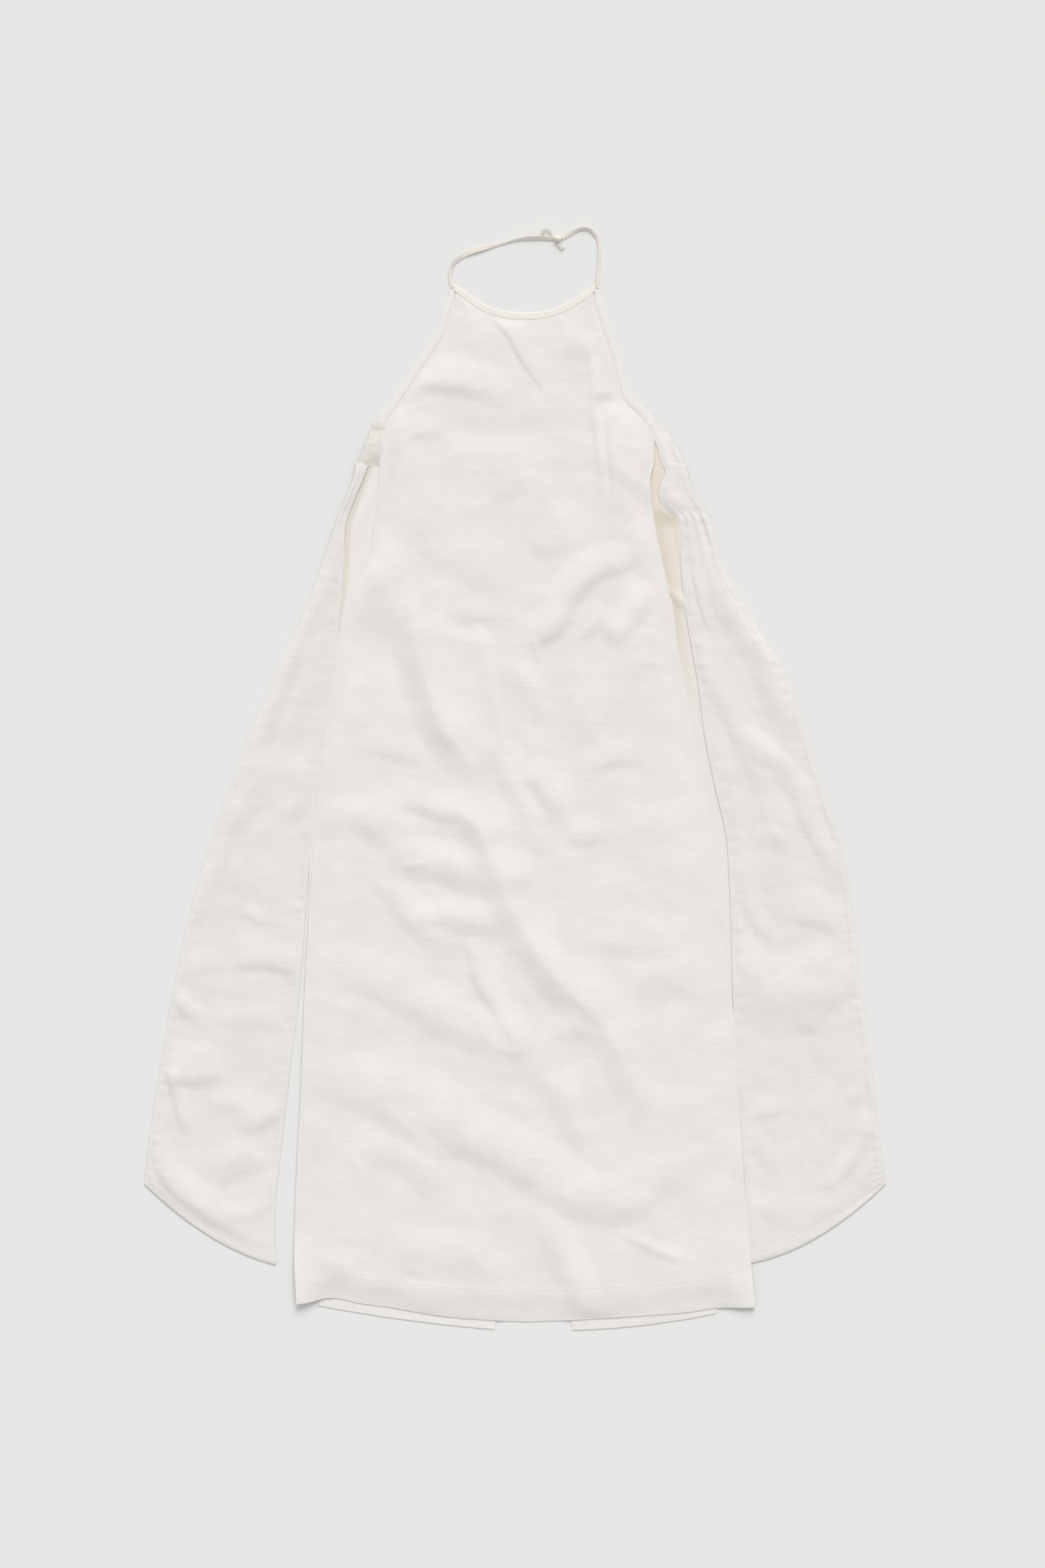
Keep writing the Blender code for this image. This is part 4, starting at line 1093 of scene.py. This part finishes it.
def tie_surface(side):
    """The surface function of a side tie. The lengths in its soft steps are in mm from the long edges, the
    head or the end."""
    tie = TIES[side]

    def surface(across, along):
        x, y, width, length = lay_out(tie.lines, across, along)
        rest = np.zeros(x.shape)
        if side == "right":
            back_reach = right_edge(BACK_RIGHT, y) + REST_OVERLAP
            rest += LAYER * smooth_step((back_reach + TIE_BLEND - x) / TIE_BLEND)
        to_side, _ = inset(across, along, width, length)
        to_end, run = (1 - along) * length, along * length
        near = np.minimum(to_side, to_end)
        from_inner = (across if side == "right" else 1 - across) * width
        at_edge = tie.inner + (1 - tie.inner) * smooth_step(from_inner / 10)
        rest += tie.head_lift * (1 - smooth_step(run / tie.head_reach)) * at_edge
        rest += tie.curl * (1 - smooth_step(to_end / 9)) * smooth_step(to_side / 10)
        rest -= HEAD_SINK * (1 - smooth_step(run / 4))
        wander = 2.5 * soft_hills(x, y, (60, 60), tie.seed)
        relief = fold_height(x + wander, y - wander, tie.folds)
        relief *= smooth_step(near / 14) * smooth_step(run / 6)
        relief += (0.4 + washed_dents(x, y, tie.seed + 1)) * smooth_step(near / 10)
        relief += soft_hills(x, y, (11, 46), tie.seed + 6) * 0.3 * smooth_step(near / 12)
        over_drop = to_end - tie.end_drop
        swell = smooth_step(over_drop / 9) * (1 - smooth_step((over_drop - 12) / 60))
        relief += tie.end_swell * swell * smooth_step(to_side / 14)
        relief += tie.lip * np.exp(-(((to_end - 2.6) / 1.7) ** 2))
        below_start = run - tie.start
        gathered = smooth_step(below_start / 14) * np.exp(-2 * (below_start / GATHER_LENGTH) ** 2)
        lanes = np.sin(2 * np.pi * (across * tie.ridges + 0.3 * soft_hills(x, y, (30, 60), tie.seed + 7)))
        relief += tie.ridge_height * (0.5 + 0.5 * lanes) * gathered * smooth_step(to_side / 3)
        band = 1 - smooth_step((near - HEM_WIDTH + 1) / 2)
        crown = np.sin(np.pi * np.clip(near / HEM_WIDTH, 0, 1))
        relief += HEM_RISE * band * (0.6 + 0.4 * crown)
        relief += seam_puckers(run, to_side - HEM_WIDTH, tie.seed + 8, depth=0.5, reach=7.0)
        relief += seam_puckers(across * width, to_end - HEM_WIDTH, tie.seed + 9, depth=0.4, reach=7.0)
        return x, y, rest + WALL + np.maximum(relief, -0.4), rest

    return surface


ties = {
    side: cloth_shell("tie_cloth_" + side, tie_surface(side), tie.lines, TIE_CELLS, LINEN_TIE)
    for side, tie in TIES.items()
}

# %% [markdown]
# ## The gathered heads
# At the underarm the tie's whole width is drawn into a strip as wide as two fingers and sewn into the side
# seam. The bunched cloth stands up there. On the left it rises down the strip in small puckers, which make
# its outer edge jagged, and then drops into a pit. On the right it runs on into the tie, with a deep crease
# along the seam that opens into a pocket. Start, crest and foot are its heights on the way down.

# %% Gathered heads
GATHER_CELLS = (26, 70)
Head = namedtuple("Head", "lines folds puckers rise jag start crest crest_place foot outer_foot inner seed")
HEADS = {
    "left": Head(
        GATHER_LEFT, HEAD_LEFT_FOLDS, puckers=4, rise=0.3, jag=1.6, start=1.2, crest=3.2, crest_place=0.66,
        foot=0.0, outer_foot=2.7, inner=1.0, seed=71,
    ),
    "right": Head(
        GATHER_RIGHT, HEAD_RIGHT_FOLDS, puckers=3, rise=0.2, jag=0.5, start=1.3, crest=2.4, crest_place=0.6,
        foot=2.1, outer_foot=2.1, inner=0.4, seed=75,
    ),
}


def head_surface(side):
    """The surface function of a gathered head. It rises smoothly from its start to its crest, some way
    along, and falls to its foot, which may be higher at the outer side. `inner` is the share of that height
    left at the inner edge. Puckers of height sin^2 down the strip also push its outer edge in and out by
    the jag."""
    head = HEADS[side]

    def surface(across, along):
        x, y, width, _ = lay_out(head.lines, across, along)
        outward = 1 - across if side == "left" else across
        drift = 0.25 * soft_hills(x, y, (9, 14), head.seed)
        wave = np.sin(np.pi * (head.puckers * along + drift + 0.3 * across)) ** 2
        x = x + head.jag * wave * outward**2 * np.sin(np.pi * along) * (1 if side == "left" else -1)
        relief = head.rise * wave * (0.3 + 0.7 * outward) + fold_height(x, y, head.folds)
        up = smooth_step(along / head.crest_place)
        down = smooth_step((along - head.crest_place) / (1 - head.crest_place))
        foot = head.foot + (head.outer_foot - head.foot) * smooth_step((outward - 0.35) / 0.4)
        rest = head.start + (head.crest - head.start) * up + (foot - head.crest) * down
        rest *= head.inner + (1 - head.inner) * smooth_step(outward * width / 7)
        return x, y, rest + WALL + relief, rest

    return surface


heads = {
    side: cloth_shell("head_cloth_" + side, head_surface(side), head.lines, GATHER_CELLS, LINEN_HEADS[side])
    for side, head in HEADS.items()
}

# %% [markdown]
# ## A strip along a path
# A binding is a strip cut on the bias, folded in four and sewn over the raw edge. A strap is the same
# strip sewn shut on itself. Both are a rounded flat bar in section. Carrying that section along a path
# makes them, and rolling it about the path as it goes gives the strap's twists: where it lies on its edge
# it looks thin from above.

# %% Sweep
SECTION_POINTS = 20
PATH_POINTS = 150             # rings along a binding or a strap


def tube_faces(rings, sides):
    """The faces of a tube of rings of points: the quads between the rings, and the two caps."""
    index = np.arange(rings * sides).reshape(rings, sides)
    after = np.roll(index, -1, axis=1)
    quads = np.stack([index[:-1], index[1:], after[1:], after[:-1]], axis=-1).reshape(-1, 4)
    return quads, np.stack([index[0], index[-1, ::-1]])


def sweep(path, widths, thick, rolls=0.0, level=(0.0, 0.0, 1.0), grounded=True, seed=0):
    """Carries a rounded flat section along a path. The section's points are (cos a, sin a), each number
    raised to a power, 0.5 and 0.7, with its sign kept, times half the width and half the thickness. It is
    rolled about the path by `rolls` degrees, and if grounded each ring is let down on to the floor.
    Returns the points, the faces and the cloth coordinates."""
    path = np.asarray(path, float)
    if path.shape[1] == 2:
        path = np.column_stack([path, np.zeros(len(path))])
    heading = unit(np.gradient(path, axis=0))
    sideways = unit(np.cross(level, heading))
    upward = np.cross(heading, sideways)
    turn = np.radians(np.broadcast_to(rolls, len(path)))[:, None]
    wide = sideways * np.cos(turn) + upward * np.sin(turn)
    high = -sideways * np.sin(turn) + upward * np.cos(turn)
    angle = np.linspace(0, 2 * np.pi, SECTION_POINTS, endpoint=False)
    flat = np.sign(np.cos(angle)) * np.abs(np.cos(angle)) ** 0.5
    domed = np.sign(np.sin(angle)) * np.abs(np.sin(angle)) ** 0.7
    run = distances(path)
    uneven = 1 + 0.06 * soft_hills(run, run * 0, (7, 7), 200 + seed)
    half = (np.broadcast_to(widths, len(path)) / 2)[:, None, None]
    depth = (np.broadcast_to(thick, len(path)) / 2 * uneven)[:, None, None]
    rings = flat[None, :, None] * half * wide[:, None, :] + domed[None, :, None] * depth * high[:, None, :]
    rings = rings + path[:, None, :]
    if grounded:
        rings[..., 2] -= rings[..., 2].min(axis=1)[:, None] - path[:, None, 2]
    faces, caps = tube_faces(*rings.shape[:2])
    flat_map = np.stack(np.broadcast_arrays(flat[None, :] * half[..., 0], run[:, None]), axis=-1)
    return rings.reshape(-1, 3), faces.tolist() + caps.tolist(), flat_map.reshape(-1, 2)


print("points round a strip:", SECTION_POINTS, "and rings along it:", PATH_POINTS)

# %% [markdown]
# ## Bindings
# The bindings follow the front's own edge, half a binding's width outside it. One runs along the neckline,
# and one from each corner of the neckline down to the underarm. They narrow where the straps begin.

# %% Bindings
BINDING_WIDTH, BINDING_THICK = 9.8, 1.1
BINDING_TOPS = {"left": (-79.5, 618.5), "right": (104.0, 618.5)}
NECK_ENDS = ((-79.0, 619.0), (103.4, 619.0))
UNDERARM = 440.0


def moved_out(rim, distance):
    """A run of a panel's edge points, moved square to the edge, to the left of their direction."""
    heading = unit(np.gradient(rim, axis=0))
    return rim + distance * np.column_stack([-heading[:, 1], heading[:, 0]])


def front_edge(across, along):
    """x and y of a run of points on the front's edge."""
    x, y, _, _ = lay_out(FRONT, across, along)
    return np.column_stack([x, y])


def binding_paths():
    """The middle line of each binding: the front's edge, moved out by half a binding's width."""
    beside = SEAM_GAP + 4.5
    neckline = front_edge(np.linspace(0, 1, PATH_POINTS), np.zeros(PATH_POINTS))
    path = np.vstack([NECK_ENDS[0], moved_out(neckline, beside)[3:-3:12], NECK_ENDS[1]])
    paths = {"neck": evenly(path, path, PATH_POINTS)}
    along = np.linspace(0, 0.2, 400)
    for side, across, out in (("left", 0.0, -beside), ("right", 1.0, beside)):
        rim = front_edge(np.full(400, across), along)
        rim = rim[rim[:, 1] > UNDERARM]
        path = np.vstack([BINDING_TOPS[side], moved_out(rim, out)])[::12]
        paths[side] = evenly(path, path, PATH_POINTS)
    return paths


BINDINGS = binding_paths()
bindings = {}
for number, (place, path) in enumerate(BINDINGS.items()):
    run = distances(path)
    to_top = np.minimum(run, run[-1] - run) if place == "neck" else run
    width = BINDING_WIDTH * (0.65 + 0.35 * smooth_step(to_top / 22))
    shape = sweep(path, width, BINDING_THICK, seed=number)
    linen = LINEN_BINDING if place == "neck" else LINEN_ARMHOLE
    bindings[place] = new_piece("binding_cloth_" + place, *shape, linen)
print("bindings:", {place: round(float(distances(path)[-1])) for place, path in BINDINGS.items()}, "mm")

# %% [markdown]
# ## Straps
# Each strap runs from its corner of the neckline to the knot. A stop in its table gives a place on its
# middle line, its width there and its twist in degrees.

# %% Straps
STRAP_THICK = 1.5
Stop = namedtuple("Stop", "x y width twist")
STRAP_LEFT = rows(Stop, (
    (-79.4, 617, 5, 0),
    (-81.2, 627, 4.4, 8),
    (-80.6, 639, 4.8, 20),
    (-77, 648, 5.6, 30),
    (-71, 654.5, 6.8, 20),
    (-58, 662, 7.6, -6),
    (-42, 667, 7, -10),
    (-26.5, 670.6, 4.6, 0),
    (-13, 674.2, 3.4, 10),
    (1, 677.9, 4.4, 25),
    (15, 679.6, 6.2, 34),
    (31, 680.2, 6.4, 34),
    (50, 679, 5.6, 18),
))
STRAP_RIGHT = rows(Stop, (
    (103.6, 617, 5, 0),
    (104.6, 630, 4.6, 10),
    (106.4, 655, 4.4, 14),
    (106.4, 668, 4.2, 8),
    (104, 678.5, 4.2, -10),
    (99.5, 685.5, 4.8, -26),
    (93.5, 690.6, 5.6, -36),
    (86, 692, 5.8, -36),
    (78, 690, 5.6, -28),
    (70, 685.6, 5.8, -12),
    (59, 680, 5.6, 0),
))


def strip(stops, count, thick, seed):
    """A flat strip along the smooth curve through a table of stops."""
    table = np.array(stops, float)
    x, y, width, twist = evenly(table[:, :2], table, count).T
    return sweep(np.column_stack([x, y]), width, thick, twist, seed=seed)


straps = {}
for side, stops, seed in (("left", STRAP_LEFT, 5), ("right", STRAP_RIGHT, 6)):
    shape = strip(stops, PATH_POINTS, STRAP_THICK, seed)
    straps[side] = new_piece("strap_cloth_" + side, *shape, LINEN_STRAP)
    print(side, "strap with", len(stops), "stops")

# %% [markdown]
# ## The knot, its loop and its end
# The two straps are tied in one small overhand knot. One end is wound round the other, so the knot is a
# short coil of the strip over a core, with a tiny loop standing above it and a short end below.

# %% Knot
KNOT_CENTRE = (54.2, 679.2)
KNOT_TURNS, KNOT_LENGTH = 2.2, 6.5
KNOT_COIL = 1.9               # radius of the coil's middle line
KNOT_WIDTH, KNOT_TUBE = 3.6, 3.0    # the strip's section where it is drawn tight
LOOP_WIDTH, LOOP_THICK, TAIL_THICK = 2.2, 1.6, 2.2
LOOP_ROUTE = (
    (35.6, 684.1, 0.2),
    (34.6, 688.2, 1.2),
    (37.2, 691.4, 2.2),
    (40.6, 692.2, 2.6),
    (43.8, 690.2, 2.0),
    (45.8, 686.4, 1.0),
    (46.3, 682.9, 0.2),
)
TAIL = rows(Stop, (
    (54, 674.3, 4, 0),
    (56.6, 670.6, 5.6, 10),
    (61, 666.6, 5.8, 0),
))


def knot_shape():
    """A coil of the strip: x runs along the knot, and y and z turn round it KNOT_TURNS times."""
    t = np.linspace(0, 1, 90)
    angle = 2 * np.pi * KNOT_TURNS * t + 0.8
    coil = KNOT_COIL * (0.75 + 0.25 * np.sin(np.pi * t))
    x = KNOT_CENTRE[0] + KNOT_LENGTH * (t - 0.5)
    y = KNOT_CENTRE[1] + coil * 1.25 * np.cos(angle) - 1.2 * (t - 0.5)
    z = KNOT_COIL + KNOT_TUBE / 2 + coil * np.sin(angle)
    path = np.column_stack([x, y, z])
    return sweep(path, KNOT_WIDTH, KNOT_TUBE, level=(1.0, 0.2, 0.1), grounded=False, seed=8)


knot = new_piece("knot_cloth", *knot_shape(), LINEN_STRAP)
route = evenly(np.array(LOOP_ROUTE)[:, :2], LOOP_ROUTE, 60)
loop = new_piece("loop_cloth", *sweep(route, LOOP_WIDTH, LOOP_THICK, seed=9), LINEN_STRAP)
tail = new_piece("tail_cloth", *strip(TAIL, 40, TAIL_THICK, 10), LINEN_STRAP)
print("knot height", round(float(max(c[2] for c in knot.bound_box)) / MM, 1), "mm")

# %% [markdown]
# ## Stitches
# The seams are sewn with a fine spun polyester thread, about 0.3 mm thick and drawn a little thicker, at 3
# stitches to the centimetre. A stitch on the top side is a short rounded bar that dips into the cloth at
# both ends. One small bar is copied to every place by adding whole arrays, so many of them cost little.

# %% Stitches
STITCH_PITCH, STITCH_LENGTH, THREAD = 3.2, 2.2, 0.36
STITCH_RINGS = (               # place along the stitch, share of the thread's thickness, lift in mm
    (-0.5, 0.35, -0.25),
    (-0.32, 1.0, 0.12),
    (0.32, 1.0, 0.12),
    (0.5, 0.35, -0.25),
)
STITCH_SIDES = 5
STITCH_POINTS = len(STITCH_RINGS) * STITCH_SIDES


def spun_thread(name, colour):
    """Matt spun polyester of one sRGB colour."""
    material, tree = new_material(name)
    finish = {"Base Color": linear(colour), "Roughness": 0.7, "Sheen Weight": 0.2}
    shader = add_node(tree, "ShaderNodeBsdfPrincipled", finish)
    add_node(tree, "ShaderNodeOutputMaterial", {"Surface": shader.outputs["BSDF"]})
    return material


HEM_THREAD = spun_thread("spun_thread_hems", "#E6E1DB")
# The binding thread is real, but its darker tone is painted shade for the small shadows the stitches cast.
BINDING_THREAD = spun_thread("spun_thread_bindings", "#CDC3B4")


def stitch_row(path):
    """Stitches along a path of points on the cloth: their points and faces. Each is a few rings of points,
    thin at both ends, laid along the path's direction."""
    run = distances(path)
    count = max(int(run[-1] / STITCH_PITCH), 1)
    at = (np.arange(count) + 0.5) * run[-1] / count

    def place(at):
        return np.column_stack([np.interp(at, run, path[:, axis]) for axis in range(3)])

    heading = unit(place(at + 1.0) - place(at - 1.0))
    sideways = unit(np.cross((0.0, 0.0, 1.0), heading))
    upward = np.cross(heading, sideways)
    ring_place, ring_size, ring_lift = np.array(STITCH_RINGS).T
    ring_place, ring_size = (ring_place * STITCH_LENGTH)[:, None], (ring_size * THREAD / 2)[:, None]
    angle = np.linspace(0, 2 * np.pi, STITCH_SIDES, endpoint=False)
    across, up = ring_size * np.cos(angle), ring_size * np.sin(angle) + ring_lift[:, None]
    offset = (
        heading[:, None, None, :] * ring_place[..., None]
        + sideways[:, None, None, :] * across[..., None]
        + upward[:, None, None, :] * up[..., None]
    )
    points = (place(at)[:, None, None, :] + offset).reshape(-1, 3)
    first = np.arange(count)[:, None, None] * STITCH_POINTS
    quads, caps = tube_faces(len(STITCH_RINGS), STITCH_SIDES)
    faces = (first + quads).reshape(-1, 4).tolist()
    return points, faces + (first + caps).reshape(-1, STITCH_SIDES).tolist()


def stitches(name, paths, thread=HEM_THREAD):
    """All the rows of stitches of one piece, as one object."""
    points, faces, total = [], [], 0
    for path in paths:
        row_points, row_faces = stitch_row(path)
        points.append(row_points)
        faces += [[corner + total for corner in face] for face in row_faces]
        total += len(row_points)
    points = np.concatenate(points)
    piece = new_piece(name, points, faces, points[:, :2], thread)
    print(name, total // STITCH_POINTS, "stitches")
    return piece


print("points of a stitch:", STITCH_POINTS)

# %% [markdown]
# ## Rows of stitches
# A row lies a little inside the turned edge that it holds: over the hem of the front, round the hems of the
# ties, and along the inner side of each binding. Its path is read from the cloth's own surface, so the
# stitches ride over every fold.

# %% Rows of stitches
HEM_EDGE = 1.2                # mm from a hem's inner edge out to its stitches
EDGE_STITCH = 3.2             # mm from a binding's middle line to its stitches


def on_surface(surface, across, along):
    """A path of points on a panel's upper side."""
    x, y, top, _ = surface(across, along)
    return np.column_stack([x, y, top])


def hem_paths(side):
    """Stitch lines of a tie's hem: down both long edges and along the end."""
    lines, surface = TIES[side].lines, tie_surface(side)
    inside = HEM_WIDTH - HEM_EDGE
    along = np.linspace(0.03, 1, 900)
    _, _, width, length = lay_out(lines, 0.5, along)
    along = along[along < 1 - inside / length]
    width = width[:len(along)]
    end = np.linspace(inside / width[-1], 1 - inside / width[-1], 260)
    return [
        on_surface(surface, inside / width, along),
        on_surface(surface, 1 - inside / width, along),
        on_surface(surface, end, np.full(260, 1 - inside / length)),
    ]


def front_hem_path():
    """The stitch line over the front's hem."""
    _, _, _, length = lay_out(FRONT, 0.5, np.ones(1))
    return on_surface(front_surface, np.linspace(0.02, 0.98, 700), np.full(700, 1 - HEM_DEPTH / length))


def binding_stitch_path(place, inward):
    """The edge stitch of a binding: its middle line moved towards the panel, on its upper side."""
    path = moved_out(BINDINGS[place], inward)
    return np.column_stack([path, np.full(len(path), BINDING_THICK * 0.93)])


tie_stitches = {side: stitches("tie_stitches_" + side, hem_paths(side)) for side in TIES}
hem_stitches = stitches("front_hem_stitches", [front_hem_path()])
to_panel = {"neck": -EDGE_STITCH, "left": EDGE_STITCH, "right": -EDGE_STITCH}
edge_paths = [binding_stitch_path(place, inward) for place, inward in to_panel.items()]
binding_stitches = stitches("binding_stitches", edge_paths, BINDING_THREAD)

# %% [markdown]
# ## What every piece is
# Cloth has no joints, so every piece rides on the one body, "root". Each new piece stands for the solid
# that it refines.

PIECES = (
    (front_cloth, "front_panel", "linen_front"),
    (backs[0], "back_panel_left", "linen_back"),
    (backs[1], "back_panel_right", "linen_back"),
    (ties["left"], "side_tie_left", "linen_tie"),
    (ties["right"], "side_tie_right", "linen_tie"),
    (heads["left"], "tie_gather_left", "linen_tie"),
    (heads["right"], "tie_gather_right", "linen_tie"),
    (bindings["neck"], "neck_binding", "linen_binding"),
    (bindings["left"], "armhole_binding_left", "linen_binding"),
    (bindings["right"], "armhole_binding_right", "linen_binding"),
    (straps["left"], "strap_left", "linen_binding"),
    (straps["right"], "strap_right", "linen_binding"),
    (knot, "strap_knot", "linen_binding"),
    (loop, "strap_loop", "linen_binding"),
    (tail, "strap_tail", "linen_binding"),
)
for piece, node, finish_slot in PIECES:
    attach(piece, "root")
    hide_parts(node)
for piece, finish_slot in (
    (tie_stitches["left"], "linen_tie"),
    (tie_stitches["right"], "linen_tie"),
    (hem_stitches, "linen_front"),
    (binding_stitches, "linen_binding"),
):
    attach(piece, "root")
print("pieces that stand for a solid:", len(PIECES))
